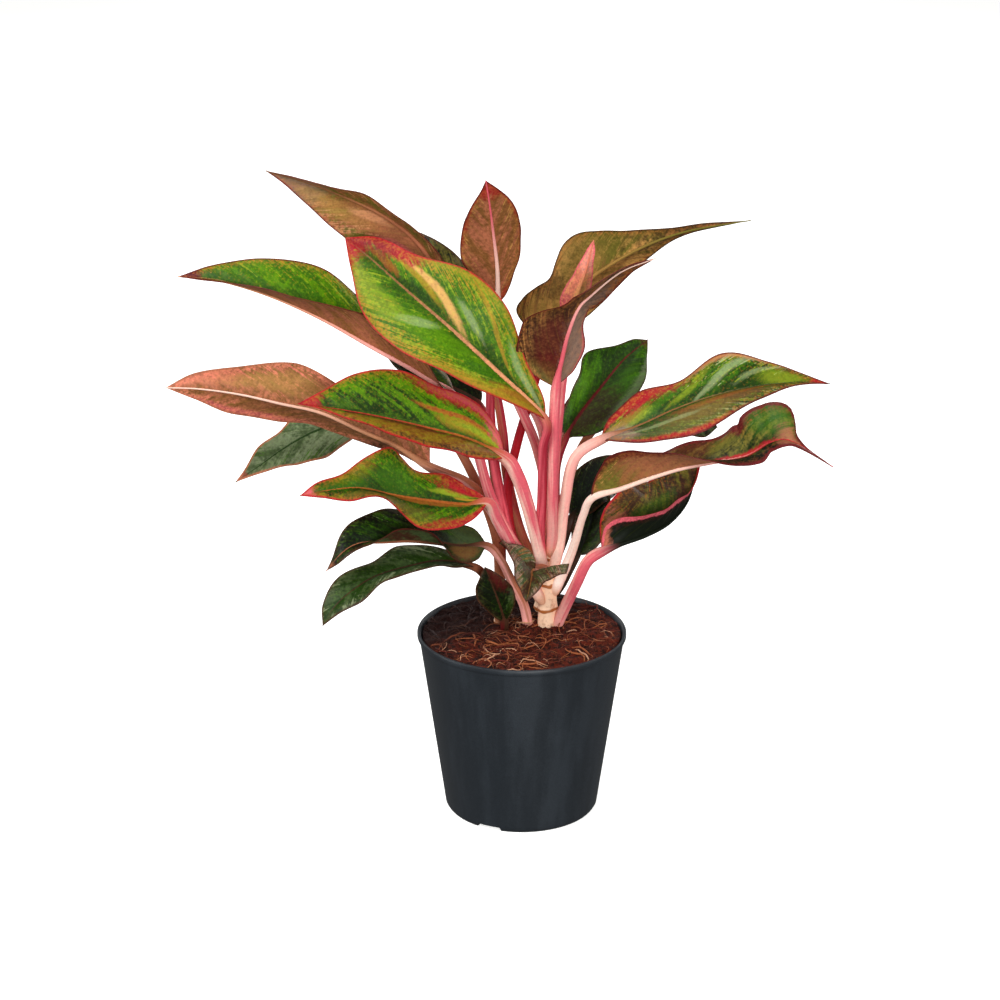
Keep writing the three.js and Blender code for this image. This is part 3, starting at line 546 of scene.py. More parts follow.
def worn(coat, *patches, **changes):
    """A coat with patches and other changes. A patch is its place along and across, its size along and
    across, its colour, its strength, and how far it leans with the veins, of which the last two may be left
    out. Across, -1 is the left margin and 1 the right one, seen from the front."""
    return coat._replace(patches=tuple(row + (1, 0)[len(row) - 5:] for row in patches), **changes)


GREEN = Coat()
OLD = Coat(dark="black", light="deep", streak="slate", streaks=0.4, fleck="grey", flecks=0.05, margin="umber",
           width=0.7, fringe="umber", bleed=0.1, beside=0.4, dot="green", dots=0.3)
UNDER = Coat(dark="umber", light="bronze", streak="rose", streaks=0.35, fleck="tan", flecks=0.2,
             margin="wine", width=0.6, fringe="rust", bleed=0.2, beside=0, dot="umber", dots=0.5)
DARK_UNDER = Coat(dark="umber", light="olive", streak="slate", streaks=0.3, flecks=0,
                  margin="wine", width=0.7, fringe="umber", bleed=0.1, beside=0, dot="umber", dots=0.4)

# A leaf's two sides, and the colours of its stalk, of its midrib at the foot and at the tip, and of the
# pale streaks along the stalk, which also paint a highlight down one side of it, and half the width in
# millimetres of the pale band along the midrib
Dress = namedtuple("Dress", "upper under stalk rib rib_tip light spread", defaults=(0.8,))
DRESSES = {
    "leaf_01": Dress(
        GREEN,
        worn(
            UNDER,
            (0.3, -0.2, 0.35, 0.5, "rose", 0.8), (0.12, -0.6, 0.12, 0.5, "red", 0.5),
            (0.6, -0.4, 0.2, 0.3, "tan", 0.4), (0.3, -0.5, 0.12, 0.2, "pink", 0.5, 0.4),
            (0.5, -0.2, 0.1, 0.15, "peach", 0.6, 0.4), (0.9, 0, 0.2, 1.5, "mauve", 0.7),
            (0.75, -0.5, 0.15, 0.4, "tan", 0.5),
            dark="olive", streaks=0.6, fleck="peach", flecks=0.4, dot="green", dots=0.6),
        "pink", "rose", "bronze", "blush"),
    "leaf_02": Dress(
        worn(OLD, light="olive", flecks=0.3, fleck="bronze"),
        DARK_UNDER,
        "crimson", "rose", "umber", "rose"),
    "leaf_03": Dress(
        worn(
            GREEN,
            (0.22, -0.9, 0.26, 0.3, "gold", 0.6), (0.12, -0.6, 0.14, 0.6, "gold", 0.8),
            (0.5, 1, 0.4, 0.2, "lime", 0.5), (0.45, -0.35, 0.2, 0.3, "bright", 0.9, 0.3),
            (0.3, -0.35, 0.1, 0.3, "green", 0.9, 0.3), (0.68, 0.12, 0.2, 0.12, "deep", 0.8),
            (0.25, 0.15, 0.15, 0.2, "deep", 0.6, 0.5), (0.62, 0.4, 0.05, 0.4, "cream", 0.85, 0.5),
            (0.74, 0.5, 0.04, 0.4, "gold", 0.8, 0.5), (0.36, 0.55, 0.03, 0.4, "gold", 0.8, 0.5),
            # Painted highlights: the mist patches on the next two lines
            (0.14, 0.5, 0.1, 0.3, "mist", 0.45, 0.5), (0.6, -0.35, 0.04, 0.25, "mist", 0.4, 0.3),
            (0.46, 0.35, 0.05, 0.15, "mist", 0.45, 0.5), (0.8, -0.6, 0.16, 0.3, "lime", 0.6, 0.3),
            (0.85, 0.3, 0.08, 0.2, "rust", 0.7, 0.3), (0.15, -0.4, 0.1, 0.3, "rust", 0.5, 0.3),
            (0.88, 0.85, 0.17, 0.4, "red"), (0.98, 0, 0.08, 2, "red"), (0.93, 0.5, 0.12, 0.6, "wine", 0.4),
            dark="green", light="bright", streaks=0.6, flecks=0.4, margin="red", width=0.6),
        UNDER,
        "crimson", "peach", "bronze", "pink", 1.3),
    "leaf_04": Dress(
        worn(
            GREEN,
            (0.1, 0.4, 0.2, 1, "deep", 0.8), (0.97, 0, 0.05, 2, "wine"),
            dark="green", light="bright", flecks=0.2),
        worn(UNDER, dark="rose", streak="peach", streaks=0.3),
        "pink", "blush", "peach", "blush"),
    "leaf_05": Dress(
        GREEN,
        worn(
            UNDER,
            (0.96, 0, 0.12, 2, "red", 0.8), (0.75, -1, 0.3, 0.2, "red", 0.7),
            (0.8, 1, 0.2, 0.2, "red", 0.6), (0.02, 0.7, 0.12, 0.6, "red", 0.7),
            dark="bronze", light="rose", streak="tan"),
        "crimson", "shell", "pink", "pink", 0.9),
    "leaf_06": Dress(
        GREEN,
        worn(
            UNDER,
            (0.5, 0.5, 0.45, 0.3, "tan", 0.6), (0.4, -0.6, 0.6, 0.6, "bronze", 0.6),
            (0.75, -0.95, 0.3, 0.3, "pink", 0.5), (0.3, 0.8, 0.2, 0.5, "salmon", 0.7),
            (0.9, 0.7, 0.15, 0.5, "salmon", 0.6),
            dark="bronze", light="rose", streak="salmon", streaks=0.5, fleck="olive", flecks=0.4,
            margin="rose", width=0.8, fringe="salmon", bleed=0.6, dot="bronze"),
        "rose", "peach", "shell", "blush"),
    "leaf_07": Dress(
        worn(
            OLD,
            (0.97, 0, 0.07, 2, "red", 0.6),
            dark="slate", light="grey", streak="grey", fleck="green", flecks=0.3, margin="rose", width=0.9),
        DARK_UNDER,
        "rose", "deep", "deep", "rose"),
    "leaf_08": Dress(
        worn(
            GREEN,
            (0.16, 0.3, 0.24, 0.22, "gold", 0.8), (0.14, 0.28, 0.16, 0.1, "lime"),
            (0.28, 0.45, 0.24, 0.07, "rust", 1, 0.3), (0.4, -0.5, 0.5, 0.4, "rust", 0.6),
            (0.5, -0.15, 0.5, 0.09, "wine", 0.7), (0.35, -0.9, 0.4, 0.2, "umber", 0.8),
            (0.2, 0.95, 0.34, 0.3, "red"), (0.16, 0.95, 0.3, 0.2, "pink", 0.6),
            (0.02, 0.7, 0.12, 0.4, "pink"), (0.97, 0, 0.08, 2, "red"),
            light="bright", streak="bright", streaks=0.7, flecks=0.15, margin="red", bleed=0.6),
        worn(UNDER),
        "pink", "rust", "red", "shell"),
    "leaf_09": Dress(OLD, DARK_UNDER, "crimson", "umber", "umber", "rose"),
    "leaf_10": Dress(
        worn(
            GREEN,
            (0.2, 0.35, 0.14, 0.12, "lime", 1, 0.2), (0.1, 0.2, 0.1, 0.06, "gold"),
            (0.75, 0.7, 0.12, 0.5, "gold", 0.4), (0.8, 0.3, 0.15, 0.5, "green", 0.6),
            (0.7, -0.7, 0.12, 0.4, "olive", 0.6), (0.5, 0.4, 0.15, 0.4, "green", 0.7),
            (0.45, -0.6, 0.2, 0.3, "olive", 0.6), (0.35, -0.1, 0.35, 0.1, "rust", 0.7),
            (0.1, 0.75, 0.2, 0.4, "red"), (0.12, -0.9, 0.24, 0.3, "red"), (0.97, 0, 0.05, 2, "pink"),
            streak="bright", streaks=0.6, flecks=0.1, margin="red", bleed=0.6),
        worn(UNDER, light="olive"),
        "pink", "rust", "rust", "shell"),
    "leaf_11": Dress(
        worn(
            OLD,
            (0.98, 0, 0.04, 2, "rose", 0.9), (0.08, 0, 0.16, 2, "slate", 0.7),
            (0.14, -0.4, 0.1, 0.5, "bronze", 0.7), (0.5, -0.9, 0.4, 0.3, "umber", 0.8),
            streak="green"),
        worn(DARK_UNDER, light="slate"),
        "rose", "umber", "rose", "blush"),
    "leaf_12": Dress(
        worn(OLD, dark="deep", light="slate", streak="grey"),
        worn(DARK_UNDER, light="slate"),
        "rose", "umber", "umber", "rose"),
    "leaf_13": Dress(
        worn(OLD, dark="umber", light="slate", streak="bronze", streaks=0.5, fleck="mauve", flecks=0.5),
        worn(DARK_UNDER, light="slate"),
        "rose", "bronze", "bronze", "blush"),
    "leaf_14": Dress(
        GREEN,
        worn(
            UNDER,
            (0.12, -0.4, 0.12, 0.5, "tan", 0.6), (0.3, -0.5, 0.14, 0.5, "tan", 0.8),
            (0.5, -0.6, 0.3, 0.4, "olive", 0.6), (0.2, -0.7, 0.06, 0.5, "umber", 0.5),
            (0.4, 0.2, 0.2, 0.3, "bronze", 0.6), (0.9, 0, 0.4, 1.5, "umber", 0.8),
            dark="olive", light="tan", streak="umber", streaks=0.5, flecks=0.4, margin="umber", dots=0.8),
        "red", "tan", "olive", "crimson"),
    "leaf_15": Dress(
        GREEN,
        worn(
            UNDER,
            # Painted shade: the umber and wine patches darken the left half near the foot as if it were in
            # shade
            (0.25, -0.3, 0.22, 0.6, "umber", 0.8), (0.25, -0.3, 0.2, 0.4, "wine", 0.5),
            (0.04, -0.4, 0.12, 0.8, "olive", 0.6), (0.12, -0.2, 0.1, 0.5, "wine", 0.6),
            (0.3, 0.55, 0.5, 0.6, "mauve", 0.9), (0.2, 1, 0.3, 0.15, "pink", 0.7),
            (0.75, 0, 0.3, 2, "umber", 0.5),
            streaks=0.2),
        "pink", "pink", "shell", "blush"),
    "leaf_16": Dress(
        worn(
            GREEN,
            (0.97, 0, 0.05, 1.5, "wine", 0.7), (0.55, 0.9, 0.4, 0.25, "grey", 0.6),
            (0.62, 0.5, 0.2, 0.3, "green", 0.6), (0.35, -0.7, 0.2, 0.35, "bright", 0.4),
            (0.25, 0.4, 0.3, 0.6, "umber", 0.6), (0.8, -0.3, 0.2, 0.5, "deep", 0.6),
            streak="deep", streaks=0.4, flecks=0, margin="umber", width=0.5, fringe="green", bleed=0.2,
            dot="bright"),
        DARK_UNDER,
        "crimson", "wine", "wine", "rose", 1.1),
    "leaf_17": Dress(
        OLD,
        worn(
            GREEN,
            (0.35, 0.2, 0.4, 0.5, "cream", 0.9), (0.2, -0.7, 0.2, 0.4, "pink", 0.8),
            (0.85, 0, 0.2, 2, "blush", 0.5),
            dark="salmon", light="salmon", streak="peach", streaks=0.5, fleck="cream", flecks=0.4,
            margin="pink", width=0.6, fringe="salmon", beside=0, dot="tan"),
        "pink", "cream", "salmon", "blush"),
    "leaf_18": Dress(
        worn(
            GREEN,
            (0.25, 0.6, 0.3, 0.6, "slate", 0.7), (0.5, 0.4, 0.3, 0.3, "bronze", 0.6),
            (0.06, 0.3, 0.1, 0.8, "mauve", 0.8), (0.55, 0.15, 0.3, 0.12, "rust", 0.5),
            (0.12, -0.35, 0.14, 0.2, "gold", 0.6, 0.3), (0.2, -0.25, 0.06, 0.2, "lime", 0.7, 0.3),
            (0.4, 0.6, 0.2, 0.4, "olive", 0.5), (0.25, 0.35, 0.2, 0.08, "mist", 0.35),
            (0.56, -0.5, 0.04, 0.5, "mist", 0.5, 0.3), (0.7, -0.5, 0.03, 0.4, "mist", 0.4, 0.3),
            (0.42, -0.5, 0.04, 0.4, "lime", 0.6, 0.3), (0.32, -0.5, 0.06, 0.4, "green", 0.9, 0.3),
            (0.8, -0.3, 0.12, 0.4, "lime", 0.7), (0.6, -1, 0.3, 0.15, "peach", 0.7),
            (0.16, -0.92, 0.28, 0.46, "red"), (0.26, 1, 0.34, 0.22, "red"), (0.97, 0, 0.06, 2, "red"),
            fleck="mist", bleed=0.6, dots=0.7),
        UNDER,
        "blush", "bronze", "slate", "shell", 0.5),
    "leaf_19": Dress(
        worn(
            OLD,
            (0.42, -0.5, 0.1, 0.7, "wine", 0.6), (0.55, -0.3, 0.08, 0.6, "olive", 0.7),
            (0.64, -0.9, 0.08, 0.3, "wine"), (0.76, -0.6, 0.07, 0.5, "green", 0.7),
            # Painted shade: the black patch darkens the right half's strip as if it were in deep shade
            (0.57, 0.9, 0.34, 1.3, "black"), (0.6, 0.02, 0.2, 0.14, "red"),
            (0.82, 0.2, 0.06, 0.8, "rose", 0.8), (0.95, 0, 0.13, 2, "rose"),
            dark="deep", light="olive", streak="rust", streaks=0.3, margin="wine", width=1.6,
            fringe="wine", bleed=0.5, dot="wine", dots=0.6),
        worn(
            UNDER,
            (0.38, 0.5, 0.25, 0.9, "rose", 0.8), (0.22, 0.95, 0.2, 0.25, "wine", 0.8),
            (0.97, 0, 0.12, 2, "red", 0.8),
            dark="olive", streak="tan", streaks=0.4, width=1.2),
        "shell", "shell", "red", "ivory"),
    "leaf_20": Dress(
        worn(
            GREEN,
            # Painted shadow: the umber patch near the left margin stands for the shadow that leaf_19 casts
            (0.3, -0.95, 0.3, 0.35, "umber", 0.9), (0.1, -0.35, 0.12, 0.5, "salmon", 0.7),
            (0.4, -0.35, 0.3, 0.2, "green", 0.6), (0.3, -0.08, 0.4, 0.1, "olive", 0.6),
            dark="umber", light="olive", streak="deep", fleck="rust", margin="red", width=1.2, bleed=0.5),
        # Painted shade: the under side and the midrib are black as if they were in deep shade
        worn(
            DARK_UNDER,
            (0.01, 0.5, 0.07, 1, "salmon", 0.8),
            dark="black", light="black", streaks=0, margin="pink", width=2.6, fringe="wine", dot="black"),
        "pink", "black", "black", "blush"),
    "leaf_21": Dress(worn(OLD, light="slate"), DARK_UNDER, "rose", "rose", "umber", "rose"),
    # Painted shade: leaf_22's midrib and leaf_23's blade and midrib are black, as for back leaves in deep
    # shade
    "leaf_22": Dress(worn(OLD, streak="deep"), DARK_UNDER, "umber", "black", "black", "umber"),
    "leaf_23": Dress(
        worn(OLD, light="black", streak="deep"),
        DARK_UNDER,
        "umber", "black", "black", "umber"),
    "leaf_24": Dress(
        # Painted shade: the black patch darkens most of the blade as if it were in deep shade
        worn(OLD, (0.7, 0, 0.4, 2, "black", 0.8), (0.9, 0.6, 0.4, 0.7, "wine", 0.7)),
        DARK_UNDER,
        "umber", "umber", "umber", "wine"),
    "leaf_25": Dress(GREEN, UNDER, "pink", "rose", "rust", "blush"),
    "leaf_26": Dress(GREEN, UNDER, "pink", "rose", "rust", "blush"),
}


def ease(value, low, high):
    """Smoothly from 0 to 1 as a value goes from low to high."""
    t = min(max((value - low) / (high - low), 0), 1)
    return t * t * (3 - 2 * t)


def spline(points, t):
    """The place and the forward direction part of the way along a curve through points."""
    last = len(points) - 1
    i = min(int(t * last), last - 1)
    w = t * last - i
    start, end = points[i], points[i + 1]
    before = points[i - 1] if i > 0 else 2 * start - end
    after = points[i + 2] if i + 2 <= last else 2 * end - start
    leave = (end - before) * CURVE_TENSION
    reach = (after - start) * CURVE_TENSION
    place = (start * (2 * w ** 3 - 3 * w ** 2 + 1) + leave * (w ** 3 - 2 * w ** 2 + w)
             + end * (3 * w ** 2 - 2 * w ** 3) + reach * (w ** 3 - w ** 2))
    forward = (start * (6 * w ** 2 - 6 * w) + leave * (3 * w ** 2 - 4 * w + 1)
               + end * (6 * w - 6 * w ** 2) + reach * (3 * w ** 2 - 2 * w))
    return place, forward.normalized()


def along(values, t):
    """A value part of the way along a short list of them, as on a Bezier curve."""
    row = list(values)
    while len(row) > 1:
        row = [a * (1 - t) + b * t for a, b in zip(row, row[1:])]
    return row[0]


def breadth(breadths, stations, v):
    """The breadth of half a blade, smoothly through its breadths at the stations."""
    values = (0, *breadths, 0)
    last = len(values) - 1
    i = 0
    while i < last - 1 and v > stations[i + 1]:
        i += 1

    def slope(k):
        low, high = max(k - 1, 0), min(k + 1, last)
        return (values[high] - values[low]) / (stations[high] - stations[low])

    span = stations[i + 1] - stations[i]
    t = (v - stations[i]) / span
    rise = t * t * (3 - 2 * t)
    return (values[i] * (1 - rise) + values[i + 1] * rise + t * (1 - t) ** 2 * slope(i) * span
            + t * t * (t - 1) * slope(i + 1) * span)


class Row:
    """A place along a leaf, and the directions there."""

    def __init__(self, leaf, points, t):
        self.place, self.forward = spline(points, t)
        self.front = (FRONT - self.forward * FRONT.dot(self.forward)).normalized()
        self.side = self.forward.cross(self.front)
        self.leaf = leaf

    def measure(self, v, climb, span):
        """Works out the blade's two halves here, once the place along it is known."""
        self.v = v
        self.climb = climb
        self.span = span
        at = min(max(v, NEAR_FOOT), 1)
        full = FULLNESS_SCALE * at ** FULLNESS_RISE * (1 - at)
        leaf = self.leaf
        self.halves = (Vector((-breadth(leaf.left, leaf.stations, at), along(leaf.left_out, at) * full)),
                       Vector((breadth(leaf.right, leaf.stations, at), along(leaf.right_out, at) * full)))
        self.facing = (Vector((self.halves[0].y, -self.halves[0].x)).normalized(),
                       Vector((-self.halves[1].y, self.halves[1].x)).normalized())
        self.middle = (self.facing[0] + self.facing[1]).normalized()

    def point(self, spot):
        """A point in the leaf's cross-section here."""
        return self.place + self.side * spot.x + self.front * spot.y


def leaf_rows(leaf):
    """The rows of a leaf's stalk and of its blade."""
    points = [Vector(p) for p in leaf.stalk + leaf.rib]
    start = (len(leaf.stalk) - 1) / (len(points) - 1)
    stalk = [Row(leaf, points, start * i / STALK_ROWS) for i in range(STALK_ROWS)]
    blade = [Row(leaf, points, start + (1 - start) * i / ALONG) for i in range(ALONG + 1)]
    rows = stalk + blade
    lengths = [0]
    for before, after in zip(rows, rows[1:]):
        lengths.append(lengths[-1] + (after.place - before.place).length)
    foot = lengths[STALK_ROWS]
    span = lengths[-1] - foot
    for row, far in zip(rows, lengths):
        row.measure((far - foot) / span, far / foot, span)
    return stalk, blade


def vein_place(v, span, away):
    """The place on the midrib, in millimetres, that the lateral vein through a point leaves from."""
    return v * span - VEIN_SLOPE * away - VEIN_CURVE * away * away


def blade_spot(row, u, over, upper, phase, quilting, ripple):
    """A point of the blade's cross-section, and its distances from the midrib and from the margin."""
    k = 0 if u < 0 else 1
    half = row.halves[k]
    reach = abs(u)
    size = max(half.length, LEAST_HALF)
    away = reach * size
    normal = row.middle.lerp(row.facing[k], ease(reach, 0, 0.2)).normalized()
    body = ease(row.v, 0, 0.1) * ease(1 - row.v, 0, 0.12)
    relief = min(size / FULL_RELIEF, 1)
    vein = vein_place(row.v, row.span, away) + VEIN_STAGGER * k
    quilt = quilting * (abs(math.sin(math.pi * vein / VEIN_STEP)) - QUILT_MIDDLE)
    quilt *= upper * ease(reach, 0, 0.25) * (1 - reach ** 4) * body * relief
    wave = math.sin(row.v * LONG_WAVES + phase + 2 * k)
    wave += SHORT_SHARE * math.sin(row.v * SHORT_WAVES + 2.3 * phase)
    wave *= ripple * reach ** 3 * body * relief
    arch = upper * ARCH * size * 4 * reach * (1 - reach)
    thick = HALF_THICK * (1 - THIN_MARGIN * reach ** 4) * (0.4 + 0.6 * ease(1 - row.v, 0, 0.1))
    sideways = half if half.length > LEAST_HALF else half.normalized() * LEAST_HALF
    return sideways * reach + normal * (arch + quilt + wave + over * thick), away, size - away


def build_leaf(leaf, settings, seed):
    """A leaf's mesh: its blade, and its stalk and midrib in one."""
    stalk, blade = leaf_rows(leaf)
    upper = 1 if leaf.shows == "upper" else -1
    phase = random.Random(seed).uniform(0, 6)
    quilting, ripple = settings.quilting / MM, settings.ripple / MM
    bm = bmesh.new()

    # The place across, the place along and the distance from the margin
    blade_layer = bm.verts.layers.float_vector.new("Blade")

    # On the blade, where the vein leaves the midrib and the distance from the midrib. On the stalk and the
    # midrib, the share of the stalk that is climbed and the way round it.
    vein_layer = bm.verts.layers.float_vector.new("Vein")

    # Whether it is the under side, whether it is stalk or midrib, and how far the blade's patches show, or
    # how far the stalk has turned into midrib
    part_layer = bm.verts.layers.float_vector.new("Part")

    bmesh.ops.create_grid(bm, x_segments=ACROSS, y_segments=ALONG, size=1)
    bmesh.ops.solidify(bm, geom=bm.faces[:], thickness=0.1)
    level = sum(vert.co.z for vert in bm.verts) / len(bm.verts)
    for vert in bm.verts:
        row = blade[round((vert.co.y + 1) / 2 * ALONG)]
        u = vert.co.x
        over = 1 if vert.co.z > level else -1
        folded = row.halves[0 if u < 0 else 1].x * u < 0
        spot, away, margin = blade_spot(row, u, over, upper, phase, quilting, ripple)
        vert[blade_layer] = (u, row.v, margin)
        vein = vein_place(row.v, row.span, away) + (COLOUR_STAGGER if u > 0 else 0)
        vert[vein_layer] = (vein, away, 0)
        vert[part_layer] = (0 if over == upper else 1, 0, 1 if (over > 0) != folded else 0)
        vert.co = row.point(spot)

    rows = stalk + blade[::2]
    tube = bmesh.ops.create_cone(bm, cap_ends=True, segments=ROUND, radius1=1, radius2=1, depth=2)
    for vert in tube["verts"]:
        vert[part_layer] = (0, 1, 0)
    split_lengthwise(bm, {edge for vert in tube["verts"] for edge in vert.link_edges}, len(rows) - 1)
    stalk_radius = STALK_RADIUS * leaf.stout
    for vert in bm.verts:
        if vert[part_layer].y < 0.5:
            continue
        row = rows[round((vert.co.z + 1) / 2 * (len(rows) - 1))]
        angle = math.atan2(vert.co.y, vert.co.x)
        widen = max(0, 1 - row.climb / SHEATH_SHARE)
        thick = stalk_radius + (SHEATH_RADIUS - stalk_radius) * widen
        rib = RIB_RADIUS + (RIB_TIP_RADIUS - RIB_RADIUS) * max(row.v, 0) ** 0.8
        inside = ease(row.v, -0.04, 0.14)
        radius = thick * (1 - inside) + rib * inside
        radius *= CLASP + (1 - CLASP) * ease(row.climb, 0, 0.05)
        groove = settings.groove * ease(row.climb, 0, 0.2) * (1 - inside)
        radius *= 1 - groove * math.exp(-((angle - upper * math.pi / 2) / GROOVE_WIDTH) ** 2)
        spot = Vector((math.cos(angle), math.sin(angle))) * radius
        spot -= row.middle * upper * inside * rib * RIB_SINK
        vert[blade_layer] = (math.cos(angle), row.v, 0)
        vert[vein_layer] = (row.climb, angle * radius, 0)
        vert[part_layer] = (0, 1, ease(row.v, -0.08, 0.12))
        vert.co = row.point(spot)
    return bm


def split_lengthwise(bm, edges, parts):
    """Divides the upright edges of unit cylinders."""
    upright = [edge for edge in edges if abs(edge.verts[0].co.z - edge.verts[1].co.z) > 1]
    bmesh.ops.subdivide_edges(bm, edges=upright, cuts=parts - 1, use_grid_fill=True)


def finish_piece(bm, name, material, node, smooth=30):
    """Makes an object of a mesh in millimetres, which stands for the solid of a node where one is named."""
    bmesh.ops.recalc_face_normals(bm, faces=bm.faces[:])
    bmesh.ops.scale(bm, vec=(MM, MM, MM), verts=bm.verts[:])
    mesh = bpy.data.meshes.new(name)
    bm.to_mesh(mesh)
    bm.free()
    for face in mesh.polygons:
        face.use_smooth = True
    mesh.set_sharp_from_angle(angle=math.radians(smooth))
    mesh.materials.append(material)
    piece = bpy.data.objects.new(name, mesh)
    bpy.context.scene.collection.objects.link(piece)
    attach(piece, "root")
    if node:
        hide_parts(node)
    return piece


def side_colour(finish, coat, paints, pattern):
    """The colour of one side of a blade."""
    u, v, margin, away, veins, fine, broad, mottle, speckle, shown = pattern

    def tint(name):
        return getattr(paints, name)

    outer = abs(u)
    ground = (broad + (mottle - 0.5) * 0.4).step(0.4, 0.6)
    colour = finish.mix(ground, tint(coat.dark), tint(coat.light))
    if coat.beside:
        share = (away + (veins - 0.5) * 20).step(9, 1) * coat.beside
        colour = finish.mix(share, colour, tint("deep" if coat.dark == "green" else coat.dark))
    if coat.streaks:
        start = 0.7 - 0.3 * coat.streaks
        level = veins + (outer - 0.5) * 0.2 + (mottle - 0.5) * 0.3
        colour = finish.mix(level.step(start, start + 0.12) * 0.85, colour, tint(coat.streak))
    if coat.flecks:
        start = 0.7 - 0.3 * coat.flecks
        level = fine + (outer - 0.5) * 0.25 + (speckle - 0.5) * 0.3
        colour = finish.mix(level.step(start, start + 0.1) * 0.85, colour, tint(coat.fleck))
    dots = speckle.step(0.56, 0.66) * margin.step(16, 0, 0.25, 0.75) * coat.dots
    colour = finish.mix(dots, colour, tint(coat.dot))
    for place, across, long, wide, name, strength, lean in coat.patches:
        along_it = v - place - (outer - abs(across)) * lean
        off = (along_it / long) ** 2 + ((u - across) / wide) ** 2
        share = (off.root() + (veins - 0.5) * 1.1 + (mottle - 0.5) * 0.9).step(1.15, 0.5) * strength * shown
        colour = finish.mix(share * (speckle + mottle * 0.5).step(0.7, 0.9, 1, 0.75), colour, tint(name))
    reach = coat.width * (1 + 3 * coat.bleed * (veins - 0.42) + 1.2 * (mottle - 0.5))
    fringe = (margin - reach).step(5, 0) * (0.2 + coat.bleed * 0.6) * (mottle + speckle - 0.5).step(0.3, 0.6)
    colour = finish.mix(fringe, colour, tint(coat.fringe))
    return finish.mix((margin - reach).step(0.8, -0.4) * 0.9, colour, tint(coat.margin))


def leaf_material(leaf, dress, paints, seed):
    """The finish of a leaf: its two sides, its midrib and its stalk."""
    finish = Finish(leaf.number + "_skin")
    u, v, margin = finish.attribute("Blade")
    vein, away = finish.attribute("Vein")[:2]
    under, rib, shown = finish.attribute("Part")

    def drawn_out(across, lengthwise, shift, detail, rough, distortion):
        """A pattern drawn out along the lateral veins, its scales in waves to a millimetre."""
        vector = finish.vector(vein * across, away * lengthwise, seed + shift)
        return finish.noise(vector, 1, detail, rough, distortion)

    veins = drawn_out(0.17, 0.06, 0, 4, 0.68, 0.5)
    fine = drawn_out(0.45, 0.12, 9, 3, 0.65, 0.3)
    broad = drawn_out(0.08, 0.05, 5, 4, 0.65, 0.6)
    mottle = finish.noise(finish.place(), 380, 3, 0.65)
    speckle = finish.noise(finish.place(), 800, 2, 0.5)
    grain = finish.noise(finish.place(), 1500, 2, 0.6)
    pattern = (u, v, margin, away, veins, fine, broad, mottle, speckle, shown)
    top = side_colour(finish, dress.upper, paints, pattern)
    back = side_colour(finish, dress.under, paints, pattern)
    colour = finish.mix(under, top, back)
    ridge = (vein * (math.pi / VEIN_STEP)).sine()
    ridge = abs(ridge).step(0.22, 0.02) * away.step(1, 4) * margin.step(0, 3)
    colour = finish.mix(ridge * 0.05, colour, paints.lime)
    band = (away + (fine - 0.5) * 1.5) / dress.spread - v.step(0.1, 1, 1, 0.25)
    bone = finish.mix(v.step(0.2, 0.8), getattr(paints, dress.rib), getattr(paints, dress.rib_tip))
    colour = finish.mix(band.step(0.15, -0.15) * v.step(1, 0.85) * (1 - rib), colour, bone)
    streaks = finish.noise(finish.vector(u * 1.2, v * 2, seed), 1.6, 2, 0.5)
    # Painted highlight: the stalk is paler down its left side, where the light falls. Its streaks and its
    # paler foot are its own colour.
    lit = ((streaks - 0.5) * 3 - u * 0.6 + vein.step(0.6, 0.05, -0.1, 0.7)).step(-0.5, 0.8)
    stalk = finish.mix(lit, getattr(paints, dress.stalk), getattr(paints, dress.light))
    stalk = finish.mix(vein.step(0.14, 0.02) * (1 - v.step(-0.3, 0)) * 0.8, stalk, paints.husk)
    colour = finish.mix(rib, colour, finish.mix(shown, stalk, bone))
    grainy = (mottle * 0.5 + speckle * 0.5).step(0.3, 0.7, -0.32, 0.32) * (1 - rib * 0.75)
    shade = finish.add("ShaderNodeHueSaturation", sockets={"Color": colour, "Value": grainy + 1})
    normal = finish.bump(fine + grain * 0.35, 0.0003, 0.6)
    return finish.done(base_color=shade, roughness=grain.step(0.3, 0.7, 0.38, 0.52), normal=normal,
                       specular_ior_level=0.14)


def pot_radius(z):
    """The radius of the pot's outside below its rim at a height."""
    return BASE_RADIUS + (RIM_RADIUS - BEAD_DEPTH - BASE_RADIUS) * z / POT_HEIGHT


def spun(profile, steps):
    """A shape turned from a profile of (radius, height) points about the pot's axis."""
    bm = bmesh.new()
    verts = [bm.verts.new((r, 0, z)) for r, z in profile]
    edges = [bm.edges.new(pair) for pair in zip(verts, verts[1:])]
    bmesh.ops.spin(bm, geom=verts + edges, cent=(0, 0, 0), axis=(0, 0, 1), angle=2 * math.pi, steps=steps,
                   use_merge=True)
    bmesh.ops.remove_doubles(bm, verts=bm.verts[:], dist=0.001)
    bmesh.ops.recalc_face_normals(bm, faces=bm.faces[:])
    return bm


def carve(bm, cutters):
    """Cuts closed shapes out of another."""
    meshes = []
    for shape in (bm, cutters):
        mesh = bpy.data.meshes.new("cut")
        shape.to_mesh(mesh)
        shape.free()
        meshes.append(bpy.data.objects.new("cut", mesh))
        bpy.context.scene.collection.objects.link(meshes[-1])
    body, tool = meshes
    modifier = body.modifiers.new("cut", "BOOLEAN")
    modifier.object = tool
    modifier.operation = "DIFFERENCE"
    modifier.solver = "EXACT"
    cut = bmesh.new()
    cut.from_object(body, bpy.context.evaluated_depsgraph_get())
    for shape in meshes:
        bpy.data.meshes.remove(shape.data)
    return cut


